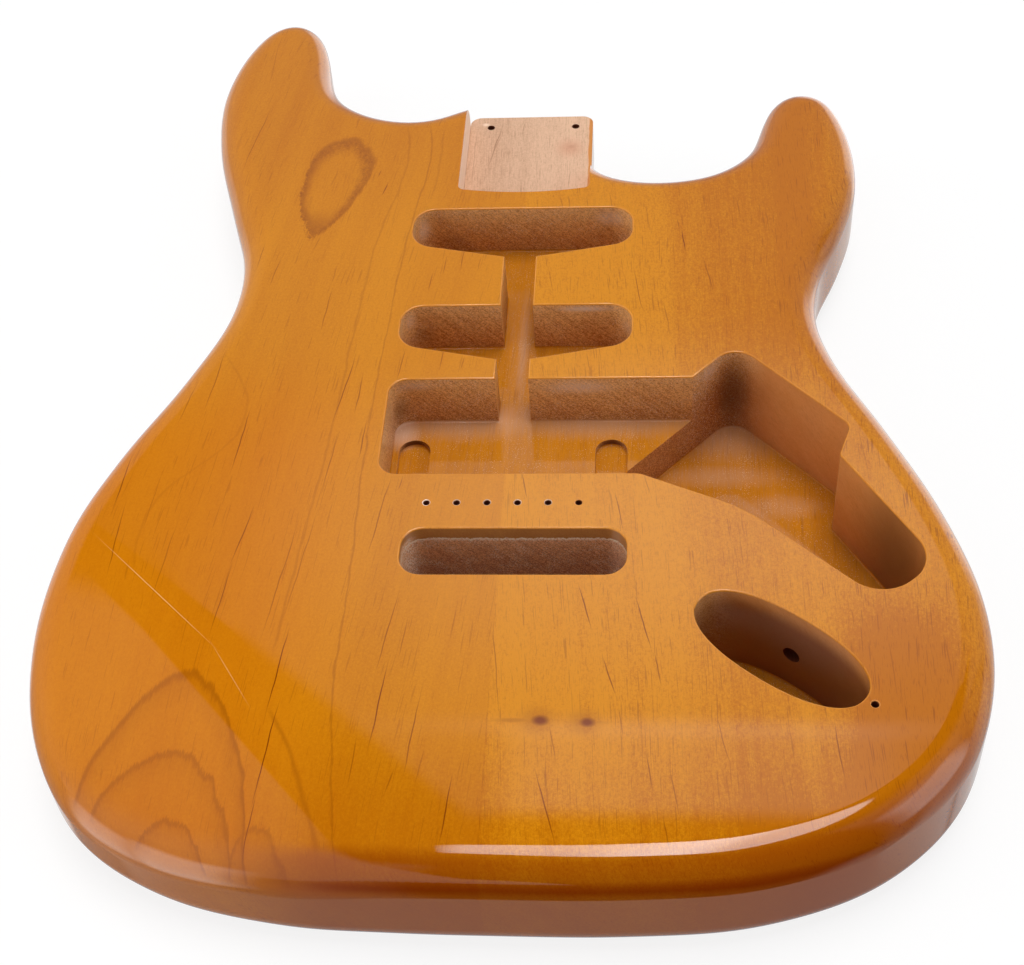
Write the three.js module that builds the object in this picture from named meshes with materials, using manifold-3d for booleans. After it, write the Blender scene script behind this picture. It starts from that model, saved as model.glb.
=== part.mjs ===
// Double-cutaway electric guitar body with a bolt-on neck pocket, bare and ready for its hardware.
// Two boards are glued edge to edge on the centreline, then shaped and routed as one blank.
// Millimetres, +Z up out of the playing face, +Y towards the neck, +X towards the treble side.
// While the blank is shaped, its centreline is X = 0, its row of bridge screws is Y = 0 and its
// playing face is Z = 0. The finished body rests on its back, with its box centred over the origin.

import * as THREE from 'three';
import { mergeVertices } from 'three/addons/utils/BufferGeometryUtils.js';
import Module from 'manifold-3d';

const wasm = await Module();
wasm.setup();

// Blank
const bodyWidth = 328.5;
const bodyLength = 467.1;
const bodyThickness = 44.5;
const edgeRadius = 12.7;
const bridgeLineFromEnd = 150.8;
const outlineSamples = 480;
const outlineThinning = 2;
const fairingReach = 2;
const edgeLimitShare = 0.98;
const edgeSteps = 4;
const filletSteps = 6;

// Outline, anticlockwise from the strap end: across from the centreline as shares of the width, and
// up from the strap end as shares of the length. Where the neck joins, it runs inside the heel block.
const outlineShares = [
  [0, 0],
  [0.137, 0.001],
  [0.262, 0.01],
  [0.378, 0.041],
  [0.46, 0.095],
  [0.499, 0.165],
  [0.504, 0.241],
  [0.476, 0.326],
  [0.426, 0.414],
  [0.379, 0.488],
  [0.36, 0.545],
  [0.369, 0.602],
  [0.402, 0.662],
  [0.427, 0.725],
  [0.428, 0.788],
  [0.414, 0.834],
  [0.401, 0.852],
  [0.366, 0.862],
  [0.332, 0.852],
  [0.318, 0.834],
  [0.309, 0.812],
  [0.289, 0.771],
  [0.244, 0.741],
  [0.183, 0.73],
  [0.125, 0.735],
  [0.091, 0.751],
  [0.078, 0.785],
  [0.046, 0.828],
  [-0.024, 0.85],
  [-0.091, 0.849],
  [-0.125, 0.835],
  [-0.164, 0.829],
  [-0.219, 0.839],
  [-0.265, 0.865],
  [-0.289, 0.903],
  [-0.301, 0.946],
  [-0.311, 0.973],
  [-0.324, 0.99],
  [-0.357, 1],
  [-0.391, 0.99],
  [-0.409, 0.972],
  [-0.429, 0.933],
  [-0.44, 0.871],
  [-0.426, 0.794],
  [-0.387, 0.7],
  [-0.356, 0.622],
  [-0.358, 0.551],
  [-0.396, 0.468],
  [-0.448, 0.383],
  [-0.486, 0.297],
  [-0.496, 0.216],
  [-0.473, 0.134],
  [-0.414, 0.067],
  [-0.317, 0.025],
  [-0.195, 0.005],
  [-0.091, 0.001],
];
const trebleReachShare = Math.max(...outlineShares.map(([across]) => across));
const trebleReach = bodyWidth * trebleReachShare;

// Forearm contour: a plane that leaves the playing face at a crease and drops along its heading
const forearmCreaseX = -95;
const forearmCreaseY = -68;
const forearmHeading = THREE.MathUtils.degToRad(222.5);
const forearmSlope = 0.15;
const forearmBacking = 80;

// Belly contour: a scoop in the back, sanded by a large drum that dips towards the waist
const bellyDrumRadius = 250;
const bellyDrumSides = 96;
const bellyCreaseX = -62;
const bellyCentreY = 112;
const bellySlope = 0.27;

// Neck joint
const pocketWidth = 56;
const pocketOffset = -0.8;
const pocketDepth = 15.4;
const pocketHeelY = 177.4;
const pocketHeelBow = 2.8;
const pocketCornerRadius = 3;
const heelFrontY = 251.8;
const heelRootLength = 80;
const heelCornerRadius = 5;
const heelEdgeRadius = 9;
const neckBoltSpacingAcross = 38.6;
const neckBoltSpacingAlong = 50.8;
const neckBoltFrontY = 244.2;
const neckBoltHoleDiameter = 3.4;

// Pickup routs and the wire channel that joins them
const pickupRoutDepth = 23.3;
const singleCoilLength = 91;
const singleCoilEndWidth = 22.3;
const singleCoilBellyWidth = 32.4;
const singleCoilFarRadius = 9;
const singleCoilNearRadius = 10;
const neckPickupFarY = 166.2;
const middlePickupFarY = 105.4;
const bridgePickupFarY = 63.5;
const bridgePickupNearY = 14.3;
const bridgePickupReach = 46.4;
const bridgePickupCornerRadius = 7;
const wireChannelWidth = 12.7;
const legPocketWidth = 12.25;
const legPocketLength = 28.5;
const legPocketSpacing = 75.75;
const legPocketFarY = 53.3;
const legPocketDepth = 26.4;

// Control cavity: corners from the centreline as shares of its reach, and up from the near edge of
// the bridge pickup as shares of its length, each with its fillet as a share of the reach. The last
// two lie on the slanted step that leads down from the bridge pickup.
const controlDepth = 40.8;
const controlEdgeWall = 15.364;
const controlReach = trebleReach - controlEdgeWall;
const controlLength = 125;
const controlCornerShares = [
  [0.253, 0, 0.02],
  [0.324, 0, 0.04],
  [0.568, -0.134, 0.4],
  [0.864, -0.463, 0.093],
  [1, -0.33, 0.093],
  [0.802, 0.07, 0.02],
  [0.836, 0.19, 0.033],
  [0.567, 0.537, 0.06],
  [0.253, 0.126, 0.033],
];

// Bridge screws, the slot for the tremolo block, and the spring cavity in the back
const bridgeScrewCount = 6;
const bridgeScrewSpacing = 10.9;
const bridgeScrewHoleDiameter = 2.8;
const bridgeScrewHoleDepth = 20;
const slotLength = 79.1;
const slotWidth = 20.9;
const slotOffset = 4.85;
const slotFarY = -12.1;
const slotCornerRadius = 8;
const springCavityDepth = 16;
const springCavityWidth = 57;
const springCavityEndY = 84;
const springCavityRadius = 7;
const blockCavityLength = 85;
const blockCavityMargin = 6;
const clawScrewSpacing = 26;
const clawScrewHoleDiameter = 3;
const clawScrewHoleDepth = 20;
const coverScrewSpacing = 80;
const coverScrewHoleDiameter = 2.4;
const coverScrewHoleDepth = 9;
const coverScrewRowsY = [-48, 22, 92];

// Output jack rout, a rounded oval that slants down towards the treble side
const jackRoutLength = 65.2;
const jackRoutWidth = 28.6;
const jackRoutSquareness = 2.25;
const jackRoutSamples = 36;
const jackRoutDepth = 39;
const jackRoutTilt = THREE.MathUtils.degToRad(-38);
const jackEdgeReach = 70.764;
const jackRoutX = trebleReach - jackEdgeReach;
const jackRoutY = -63.9;
const jackScrewReach = 36.4;
const jackScrewHoleDiameter = 2.8;
const jackScrewHoleDepth = 12;

// Wire bores: jack rout to control cavity, and spring cavity to control cavity
const jackBoreDiameter = 6.5;
const jackBoreLength = 34;
const jackBoreDrop = 22.4;
const jackBoreAlong = -4;
const jackBoreHeading = THREE.MathUtils.degToRad(44);
const groundBoreDiameter = 4;
const groundBoreLength = 34;
const groundBoreDrop = 36;
const groundBoreY = 34;

// Cutters run this far past the faces that they open.
const overrun = 1;
const boreSides = 16;

// Clear lacquer over amber-stained wood
const lacquer = { color: 0xcb7f2e, roughness: 0.15, metalness: 0 };

// A closed solid from a three.js geometry, for joining and cutting.
function solidOf(geometry) {
  geometry.deleteAttribute('normal');
  geometry.deleteAttribute('uv');
  const merged = mergeVertices(geometry);
  return new wasm.Manifold(new wasm.Mesh({
    numProp: 3,
    vertProperties: new Float32Array(merged.attributes.position.array),
    triVerts: new Uint32Array(merged.index.array),
  }));
}

// A three.js geometry from a finished solid.
function geometryOf(solid) {
  const mesh = solid.getMesh();
  const geometry = new THREE.BufferGeometry();
  geometry.setAttribute('position', new THREE.BufferAttribute(mesh.vertProperties, mesh.numProp));
  geometry.setIndex(new THREE.BufferAttribute(mesh.triVerts, 1));
  geometry.computeVertexNormals();
  return geometry;
}

// A closed shape through corners [x, y, fillet radius].
function filletedShape(corners) {
  const shape = new THREE.Shape();
  const go = (index, x, y) => (index === 0 ? shape.moveTo(x, y) : shape.lineTo(x, y));
  corners.forEach(([x, y, radius], index) => {
    const here = new THREE.Vector2(x, y);
    const before = corners.at(index - 1);
    const after = corners[(index + 1) % corners.length];
    const back = new THREE.Vector2(before[0], before[1]).sub(here).normalize();
    const ahead = new THREE.Vector2(after[0], after[1]).sub(here).normalize();
    if (radius === 0) {
      go(index, x, y);
      return;
    }
    const half = Math.acos(back.dot(ahead)) / 2;
    const start = here.clone().addScaledVector(back, radius / Math.tan(half));
    const end = here.clone().addScaledVector(ahead, radius / Math.tan(half));
    const middle = back.clone().add(ahead).normalize();
    const centre = here.clone().addScaledVector(middle, radius / Math.sin(half));
    const from = Math.atan2(start.y - centre.y, start.x - centre.x);
    const to = Math.atan2(end.y - centre.y, end.x - centre.x);
    go(index, start.x, start.y);
    shape.absarc(centre.x, centre.y, radius, from, to, back.cross(ahead) > 0);
  });
  return shape;
}

function rectangle(left, right, near, far, radius) {
  return filletedShape([
    [left, near, radius],
    [right, near, radius],
    [right, far, radius],
    [left, far, radius],
  ]);
}

// A prism of a shape, whose top is at a height.
function prism(shape, top, depth) {
  const geometry = new THREE.ExtrudeGeometry(shape, { depth, bevelEnabled: false, curveSegments: filletSteps });
  geometry.translate(0, 0, top - depth);
  return solidOf(geometry);
}

function faceRout(shape, depth) {
  return prism(shape, overrun, depth + overrun);
}

function backRout(shape, depth) {
  return prism(shape, depth - bodyThickness, depth + overrun);
}

// A round bore from its mouth along a heading.
function bore(x, y, z, heading, diameter, depth) {
  const geometry = new THREE.CylinderGeometry(diameter / 2, diameter / 2, depth + overrun, boreSides);
  geometry.translate(0, (depth - overrun) / 2, 0);
  geometry.applyQuaternion(new THREE.Quaternion().setFromUnitVectors(new THREE.Vector3(0, 1, 0), heading));
  geometry.translate(x, y, z);
  return solidOf(geometry);
}

const intoFace = new THREE.Vector3(0, 0, -1);
const intoBack = new THREE.Vector3(0, 0, 1);
const towardsNeck = new THREE.Vector3(0, 1, 0);
const towardsTreble = new THREE.Vector3(1, 0, 0);

// The blank's outline: a closed curve through its points, faired so that it turns evenly.
function outlinePoints() {
  const points = outlineShares.map(([across, along]) => (
    new THREE.Vector3(across * bodyWidth, along * bodyLength - bridgeLineFromEnd, 0)
  ));
  const curve = new THREE.CatmullRomCurve3(points, true, 'centripetal');
  const samples = curve.getSpacedPoints(outlineSamples);
  samples.pop();
  const faired = samples.map((unused, index) => {
    const sum = new THREE.Vector3();
    for (let step = -fairingReach; step <= fairingReach; step += 1) {
      sum.add(samples[(index + step + samples.length) % samples.length]);
    }
    const place = sum.divideScalar(fairingReach + 1 + fairingReach);
    return new THREE.Vector2(place.x, place.y);
  });
  return faired.filter((unused, index) => index % outlineThinning === 0);
}

// The tightest turn round the outside of an outline. No rounded edge can be wider.
function tightestTurn(points) {
  return Math.min(...points.map((here, index) => {
    const into = here.clone().sub(points.at(index - 1));
    const out = points[(index + 1) % points.length].clone().sub(here);
    const turn = Math.atan2(into.cross(out), into.dot(out));
    return turn > 0 ? (into.length() + out.length()) / 2 / turn : Infinity;
  }));
}

// A blank with both its edges rounded, from the playing face down to a thickness.
function roundedBlank(thickness) {
  const points = outlinePoints();
  const radius = Math.min(edgeRadius, tightestTurn(points) * edgeLimitShare);
  const geometry = new THREE.ExtrudeGeometry(new THREE.Shape(points), {
    depth: thickness - radius - radius,
    bevelEnabled: true,
    bevelThickness: radius,
    bevelSize: radius,
    bevelOffset: -radius,
    bevelSegments: edgeSteps,
  });
  geometry.translate(0, 0, radius - thickness);
  return geometry;
}

// What the forearm contour leaves: a thick blank, leaning with the contour, its edge still rounded.
function forearmLimit() {
  const dropX = forearmSlope * Math.cos(forearmHeading);
  const dropY = forearmSlope * Math.sin(forearmHeading);
  const geometry = roundedBlank(bodyThickness + forearmBacking);
  geometry.applyMatrix4(new THREE.Matrix4().makeShear(0, -dropX, 0, -dropY, 0, 0));
  geometry.translate(0, 0, dropX * forearmCreaseX + dropY * forearmCreaseY);
  return solidOf(geometry);
}

// The drum that scoops the belly contour: it just meets the back at the crease.
function bellyDrum() {
  const geometry = new THREE.CylinderGeometry(bellyDrumRadius, bellyDrumRadius, bodyWidth, bellyDrumSides);
  geometry.rotateZ(Math.PI / 2);
  geometry.rotateX(Math.PI / bellyDrumSides);
  geometry.translate(0, 0, -bellyDrumRadius);
  geometry.rotateY(Math.atan(bellySlope));
  geometry.translate(bellyCreaseX, bellyCentreY, -bodyThickness);
  return solidOf(geometry);
}

// The heel that carries the neck: front corners rounded in plan, back edges rounded all round.
function heelBlock() {
  const left = pocketOffset - pocketWidth / 2;
  const right = pocketOffset + pocketWidth / 2;
  const root = heelFrontY - heelRootLength;
  const plan = prism(filletedShape([
    [left, root, 0],
    [right, root, 0],
    [right, heelFrontY, heelCornerRadius],
    [left, heelFrontY, heelCornerRadius],
  ]), -pocketDepth, bodyThickness - pocketDepth);
  const across = new THREE.ExtrudeGeometry(filletedShape([
    [left, -bodyThickness, heelEdgeRadius],
    [right, -bodyThickness, heelEdgeRadius],
    [right, 0, 0],
    [left, 0, 0],
  ]), { depth: heelRootLength, bevelEnabled: false, curveSegments: filletSteps });
  across.rotateX(Math.PI / 2);
  across.translate(0, heelFrontY, 0);
  const along = new THREE.ExtrudeGeometry(filletedShape([
    [root, -bodyThickness, 0],
    [heelFrontY, -bodyThickness, heelEdgeRadius],
    [heelFrontY, 0, 0],
    [root, 0, 0],
  ]), { depth: pocketWidth, bevelEnabled: false, curveSegments: filletSteps });
  along.rotateX(Math.PI / 2);
  along.rotateZ(Math.PI / 2);
  along.translate(left, 0, 0);
  return plan.intersect(solidOf(across)).intersect(solidOf(along));
}

// The neck pocket, open towards the neck, with its heel end bowed like the end of the neck.
function neckPocket() {
  const left = pocketOffset - pocketWidth / 2;
  const right = pocketOffset + pocketWidth / 2;
  const shoulder = pocketHeelY + pocketHeelBow;
  const shape = new THREE.Shape();
  shape.moveTo(right, heelFrontY + overrun);
  shape.lineTo(left, heelFrontY + overrun);
  shape.lineTo(left, shoulder + pocketCornerRadius);
  shape.quadraticCurveTo(left, shoulder, left + pocketCornerRadius, shoulder);
  shape.quadraticCurveTo(pocketOffset, pocketHeelY - pocketHeelBow, right - pocketCornerRadius, shoulder);
  shape.quadraticCurveTo(right, shoulder, right, shoulder + pocketCornerRadius);
  return faceRout(shape, pocketDepth);
}

function neckBoltHoles() {
  return [-1, 1].flatMap((side) => [0, 1].map((row) => bore(
    side * neckBoltSpacingAcross / 2,
    neckBoltFrontY - row * neckBoltSpacingAlong,
    -pocketDepth,
    intoFace,
    neckBoltHoleDiameter,
    bodyThickness - pocketDepth + overrun,
  )));
}

// A single-coil rout: straight far edge, round ends, and a near edge that comes to a shallow point.
function singleCoilRout(farY) {
  const half = singleCoilLength / 2;
  return faceRout(filletedShape([
    [-half, farY - singleCoilEndWidth, singleCoilNearRadius],
    [0, farY - singleCoilBellyWidth, 0],
    [half, farY - singleCoilEndWidth, singleCoilNearRadius],
    [half, farY, singleCoilFarRadius],
    [-half, farY, singleCoilFarRadius],
  ]), pickupRoutDepth);
}

function controlCorners() {
  return controlCornerShares.map(([across, along, fillet]) => [
    across * controlReach,
    bridgePickupNearY + along * controlLength,
    fillet * controlReach,
  ]);
}

// The bridge pickup rout, open to the control cavity, with a deeper pocket for each mounting leg.
function bridgePickupRouts() {
  const corners = controlCorners();
  const [stepX, stepY] = corners.at(-1);
  const [lobeX, lobeY] = corners.at(-2);
  const stepShare = (bridgePickupFarY - stepY) / (lobeY - stepY);
  const main = faceRout(filletedShape([
    [-bridgePickupReach, bridgePickupNearY, bridgePickupCornerRadius],
    [corners[1][0], bridgePickupNearY, 0],
    [THREE.MathUtils.lerp(stepX, lobeX, stepShare), bridgePickupFarY, 0],
    [-bridgePickupReach, bridgePickupFarY, bridgePickupCornerRadius],
  ]), pickupRoutDepth);
  const legs = [-1, 1].map((side) => {
    const centre = side * legPocketSpacing / 2;
    const left = centre - legPocketWidth / 2;
    const right = centre + legPocketWidth / 2;
    const near = legPocketFarY - legPocketLength;
    return faceRout(rectangle(left, right, near, legPocketFarY, legPocketWidth / 2), legPocketDepth);
  });
  return [main, ...legs];
}

function wireChannel() {
  const half = wireChannelWidth / 2;
  const far = neckPickupFarY - singleCoilEndWidth;
  const near = bridgePickupFarY - bridgePickupCornerRadius;
  return faceRout(rectangle(-half, half, near, far, 0), pickupRoutDepth);
}

function controlCavity() {
  return faceRout(filletedShape(controlCorners()), controlDepth);
}

function bridgeScrewHoles() {
  return Array.from({ length: bridgeScrewCount }, (unused, index) => bore(
    (index - (bridgeScrewCount - 1) / 2) * bridgeScrewSpacing,
    0,
    0,
    intoFace,
    bridgeScrewHoleDiameter,
    bridgeScrewHoleDepth,
  ));
}

// The slot that the tremolo block passes through, from the playing face to the back.
function tremoloSlot() {
  const left = slotOffset - slotLength / 2;
  const right = slotOffset + slotLength / 2;
  return faceRout(rectangle(left, right, slotFarY - slotWidth, slotFarY, slotCornerRadius), bodyThickness + overrun);
}

// The cavity in the back: a wide part behind the slot and a narrower part for the springs.
function springCavity() {
  const blockFar = slotFarY + blockCavityMargin;
  const blockNear = slotFarY - slotWidth - blockCavityMargin;
  const block = rectangle(
    slotOffset - blockCavityLength / 2,
    slotOffset + blockCavityLength / 2,
    blockNear,
    blockFar,
    springCavityRadius,
  );
  const springs = rectangle(
    -springCavityWidth / 2,
    springCavityWidth / 2,
    blockNear,
    springCavityEndY,
    springCavityRadius,
  );
  return [backRout(block, springCavityDepth), backRout(springs, springCavityDepth)];
}

// Two holes in the neck end of the spring cavity, for the claw that the springs pull on.
function clawScrewHoles() {
  return [-1, 1].map((side) => bore(
    side * clawScrewSpacing / 2,
    springCavityEndY,
    springCavityDepth / 2 - bodyThickness,
    towardsNeck,
    clawScrewHoleDiameter,
    clawScrewHoleDepth,
  ));
}

// Three rows of two pilot holes for the plate that covers the spring cavity.
function coverScrewHoles() {
  return [-1, 1].flatMap((side) => coverScrewRowsY.map((y) => bore(
    side * coverScrewSpacing / 2,
    y,
    -bodyThickness,
    intoBack,
    coverScrewHoleDiameter,
    coverScrewHoleDepth,
  )));
}

// A place given along and across the slanted jack rout.
function jackPlace(along, across) {
  const place = new THREE.Vector2(along, across).rotateAround(new THREE.Vector2(), jackRoutTilt);
  return place.add(new THREE.Vector2(jackRoutX, jackRoutY));
}

function jackRout() {
  const power = 2 / jackRoutSquareness;
  const swell = (value) => Math.sign(value) * Math.abs(value) ** power;
  const points = Array.from({ length: jackRoutSamples }, (unused, index) => {
    const angle = index * 2 * Math.PI / jackRoutSamples;
    return jackPlace(swell(Math.cos(angle)) * jackRoutLength / 2, swell(Math.sin(angle)) * jackRoutWidth / 2);
  });
  return faceRout(new THREE.Shape(points), jackRoutDepth);
}

function jackScrewHole() {
  const place = jackPlace(jackScrewReach, 0);
  return bore(place.x, place.y, 0, intoFace, jackScrewHoleDiameter, jackScrewHoleDepth);
}

function wireBores() {
  const mouth = jackPlace(jackBoreAlong, jackRoutWidth / 2);
  const heading = new THREE.Vector3(Math.cos(jackBoreHeading), Math.sin(jackBoreHeading), 0);
  return [
    bore(mouth.x, mouth.y, -jackBoreDrop, heading, jackBoreDiameter, jackBoreLength),
    bore(springCavityWidth / 2, groundBoreY, -groundBoreDrop, towardsTreble, groundBoreDiameter, groundBoreLength),
  ];
}

// The whole body as one solid: shaped blank and heel, less every rout and bore.
function shapedBody() {
  const blank = solidOf(roundedBlank(bodyThickness)).intersect(forearmLimit()).subtract(bellyDrum());
  const cuts = [
    neckPocket(),
    ...neckBoltHoles(),
    singleCoilRout(neckPickupFarY),
    singleCoilRout(middlePickupFarY),
    ...bridgePickupRouts(),
    wireChannel(),
    controlCavity(),
    ...bridgeScrewHoles(),
    tremoloSlot(),
    ...springCavity(),
    ...clawScrewHoles(),
    ...coverScrewHoles(),
    jackRout(),
    jackScrewHole(),
    ...wireBores(),
  ];
  return cuts.reduce((body, cut) => body.subtract(cut), blank.add(heelBlock()));
}

// One board: the part of the body on one side of the glue line.
function board(body, name, side) {
  const half = new THREE.BoxGeometry(bodyWidth, bodyLength + bodyLength, bodyThickness + bodyThickness);
  half.translate(side * bodyWidth / 2, 0, 0);
  const mesh = new THREE.Mesh(geometryOf(body.intersect(solidOf(half))), new THREE.MeshStandardMaterial(lacquer));
  mesh.name = name;
  return mesh;
}

const guitarBody = new THREE.Group();
const gluedBlank = shapedBody();
guitarBody.add(board(gluedBlank, 'bass_side_board', -1));
guitarBody.add(board(gluedBlank, 'treble_side_board', 1));

// Rest the body on its back, with its box centred over the origin.
const box = new THREE.Box3().setFromObject(guitarBody);
const middle = box.getCenter(new THREE.Vector3());
guitarBody.position.set(-middle.x, -middle.y, -box.min.z);

export default guitarBody;
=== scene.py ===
"""Studio picture of a bare electric guitar body: two boards glued on the centreline, shaped, routed and lacquered.

Shapes are worked out in the shaping frame, in millimetres: X = 0 is the glue line, Y = 0 the row of bridge
screws and Z = 0 the playing face. Each finished piece is then moved to the row frame, in metres.
"""
from __future__ import annotations

import logging
import math
from dataclasses import dataclass, field
from enum import Enum

import bmesh
import bpy
from mathutils import Matrix, Vector


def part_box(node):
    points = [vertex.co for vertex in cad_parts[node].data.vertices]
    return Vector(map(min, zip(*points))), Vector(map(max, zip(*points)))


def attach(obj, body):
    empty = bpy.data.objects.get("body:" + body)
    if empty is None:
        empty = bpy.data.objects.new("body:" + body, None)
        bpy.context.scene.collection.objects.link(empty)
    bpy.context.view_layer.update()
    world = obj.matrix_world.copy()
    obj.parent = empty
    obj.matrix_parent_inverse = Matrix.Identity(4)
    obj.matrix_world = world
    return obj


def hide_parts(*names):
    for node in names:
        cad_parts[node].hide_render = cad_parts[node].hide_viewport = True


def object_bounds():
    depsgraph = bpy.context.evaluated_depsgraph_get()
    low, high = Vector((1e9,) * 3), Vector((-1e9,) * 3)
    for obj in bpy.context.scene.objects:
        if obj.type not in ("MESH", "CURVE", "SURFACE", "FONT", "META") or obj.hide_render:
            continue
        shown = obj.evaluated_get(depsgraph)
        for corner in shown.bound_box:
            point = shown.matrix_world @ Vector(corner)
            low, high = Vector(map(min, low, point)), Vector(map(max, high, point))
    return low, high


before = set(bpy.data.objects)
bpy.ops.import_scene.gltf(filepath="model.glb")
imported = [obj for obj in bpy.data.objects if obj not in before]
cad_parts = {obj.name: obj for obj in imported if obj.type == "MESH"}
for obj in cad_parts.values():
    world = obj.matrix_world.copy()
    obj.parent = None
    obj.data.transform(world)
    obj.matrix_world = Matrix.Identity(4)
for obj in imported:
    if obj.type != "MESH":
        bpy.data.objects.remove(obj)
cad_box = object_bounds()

Socket = bpy.types.NodeSocket
Colour = tuple[float, float, float, float]

log = logging.getLogger("guitar_body")

MM = 0.001
OVERRUN = 2.0
MERGE_DISTANCE = 0.0005
LEVEL_TOLERANCE = 0.001
HEIGHT_TOLERANCE = 0.01
SHARPEST_CORNER = 0.3
ROUND_SIDES = 28
BOARD_THICKNESS = 44.5
SEAM_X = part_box("bass_side_board")[1].x
BRIDGE_LINE_Y = -0.082272
FACE_Z = cad_box[1].z
SHAPING_TO_ROW = Matrix.Translation((SEAM_X, BRIDGE_LINE_Y, FACE_Z)) @ Matrix.Scale(MM, 4)


class Finish(Enum):
    """The surfaces that the body shows, each with a material of its own."""

    FACE = "face_lacquer"
    RIM = "rim_lacquer"
    ROUGH_WALL = "rough_wall"
    SMOOTH_WALL = "smooth_wall"
    SLOT_WALL = "slot_wall"
    FLOOR = "rout_floor"
    POCKET = "pocket_wood"
    # Painted shade: the inside of drilled holes is made near-black.
    BORE = "bore_wood"
    GLUE = "glue_joint"


# ---------------------------------------------------------------- shapes


def offset_loop(points: list[Vector], distance: float) -> list[Vector]:
    """Moves a closed loop of plan points outwards.

    Args:
        points: the loop, anticlockwise, in the plane Z = 0.
        distance: how far outwards, in millimetres, or inwards if negative.

    Returns:
        The moved loop, with as many points.
    """
    moved = []
    for index, here in enumerate(points):
        into = (here - points[index - 1]).to_2d().normalized()
        out = (points[(index + 1) % len(points)] - here).to_2d().normalized()
        normal = Vector((into.y + out.y, -into.x - out.x)).normalized()
        stretch = max(SHARPEST_CORNER, normal.dot(Vector((into.y, -into.x))))
        moved.append(Vector((here.x + normal.x * distance / stretch, here.y + normal.y * distance / stretch, 0)))
    return moved


def filleted_loop(corners: list[tuple[float, float, float]], step: float = 6.0) -> list[Vector]:
    """Rounds the corners of a plan outline.

    Args:
        corners: (x, y, fillet radius) of each corner, anticlockwise.
        step: the turn of one fillet step, in degrees.

    Returns:
        The rounded loop's points.
    """
    loop = []
    for index, (x, y, radius) in enumerate(corners):
        here = Vector((x, y))
        back = (Vector(corners[index - 1][:2]) - here).normalized()
        ahead = (Vector(corners[(index + 1) % len(corners)][:2]) - here).normalized()
        if radius == 0:
            loop.append(here.to_3d())
            continue
        half = back.angle(ahead) / 2
        start = here + back * (radius / math.tan(half))
        centre = here + (back + ahead).normalized() * (radius / math.sin(half))
        turn = math.pi - 2 * half
        if (-back).cross(ahead) < 0:
            turn = -turn
        count = max(3, math.ceil(abs(math.degrees(turn)) / step))
        arm = start - centre
        for part in range(count + 1):
            spun = Matrix.Rotation(turn * part / count, 2) @ arm
            loop.append((centre + spun).to_3d())
    return loop


def rectangle_loop(left: float, right: float, near: float, far: float, radius: float) -> list[Vector]:
    """A rectangle with rounded corners, in plan."""
    return filleted_loop([(left, near, radius), (right, near, radius), (right, far, radius), (left, far, radius)])


def circle_loop(x: float, y: float, radius: float, count: int = ROUND_SIDES) -> list[Vector]:
    """A circle in plan."""
    turns = (2 * math.pi * index / count for index in range(count))
    return [Vector((x + radius * math.cos(turn), y + radius * math.sin(turn), 0)) for turn in turns]


def mesh_object(bm: bmesh.types.BMesh, name: str, finishes: list[Finish]) -> bpy.types.Object:
    """Turns a bmesh into an object.

    Args:
        bm: the shape, which is freed.
        name: the object's name.
        finishes: the finish of each material slot.

    Returns:
        The new object, linked to the scene.
    """
    mesh = bpy.data.meshes.new(name)
    bm.to_mesh(mesh)
    bm.free()
    for finish in finishes:
        mesh.materials.append(bpy.data.materials[finish.value])
    made = bpy.data.objects.new(name, mesh)
    bpy.context.scene.collection.objects.link(made)
    return made


def combine(target: bpy.types.Object, tool: bpy.types.Object, operation: str, keep_tool: bool = False) -> None:
    """Joins, cuts or trims one object with another, and applies the result.

    Args:
        target: the object that is changed.
        tool: the object that it is changed with.
        operation: UNION, DIFFERENCE or INTERSECT.
        keep_tool: whether the tool is used again.
    """
    cut = target.modifiers.new("cut", "BOOLEAN")
    cut.operation = operation
    cut.solver = "EXACT"
    cut.object = tool
    cut.material_mode = "TRANSFER"
    evaluated = target.evaluated_get(bpy.context.evaluated_depsgraph_get())
    mesh = bpy.data.meshes.new_from_object(evaluated)
    target.modifiers.clear()
    target.data = mesh
    if not keep_tool:
        bpy.data.objects.remove(tool)


def slice_faces(bm: bmesh.types.BMesh, faces: list[bmesh.types.BMFace], place: Vector, normal: Vector) -> None:
    """Cuts some faces of a shape along a plane, and keeps both sides.

    Args:
        bm: the shape.
        faces: the faces that may be cut.
        place: a point of the plane.
        normal: the plane's normal.
    """
    edges = dict.fromkeys(e for f in faces for e in f.edges)
    verts = dict.fromkeys(v for f in faces for v in f.verts)
    bmesh.ops.bisect_plane(bm, geom=[*faces, *edges, *verts], dist=MERGE_DISTANCE, plane_co=place, plane_no=normal)


def round_edges(bm: bmesh.types.BMesh, edges: list[bmesh.types.BMEdge], radius: float, segments: int) -> None:
    """Rounds some edges of a shape.

    Args:
        bm: the shape.
        edges: the edges.
        radius: the rounding's radius.
        segments: how many faces go round it.
    """
    bmesh.ops.bevel(
        bm, geom=edges, offset=radius, offset_type="OFFSET", segments=segments,
        profile=0.5, affect="EDGES", clamp_overlap=False, material=-1,
    )


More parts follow.
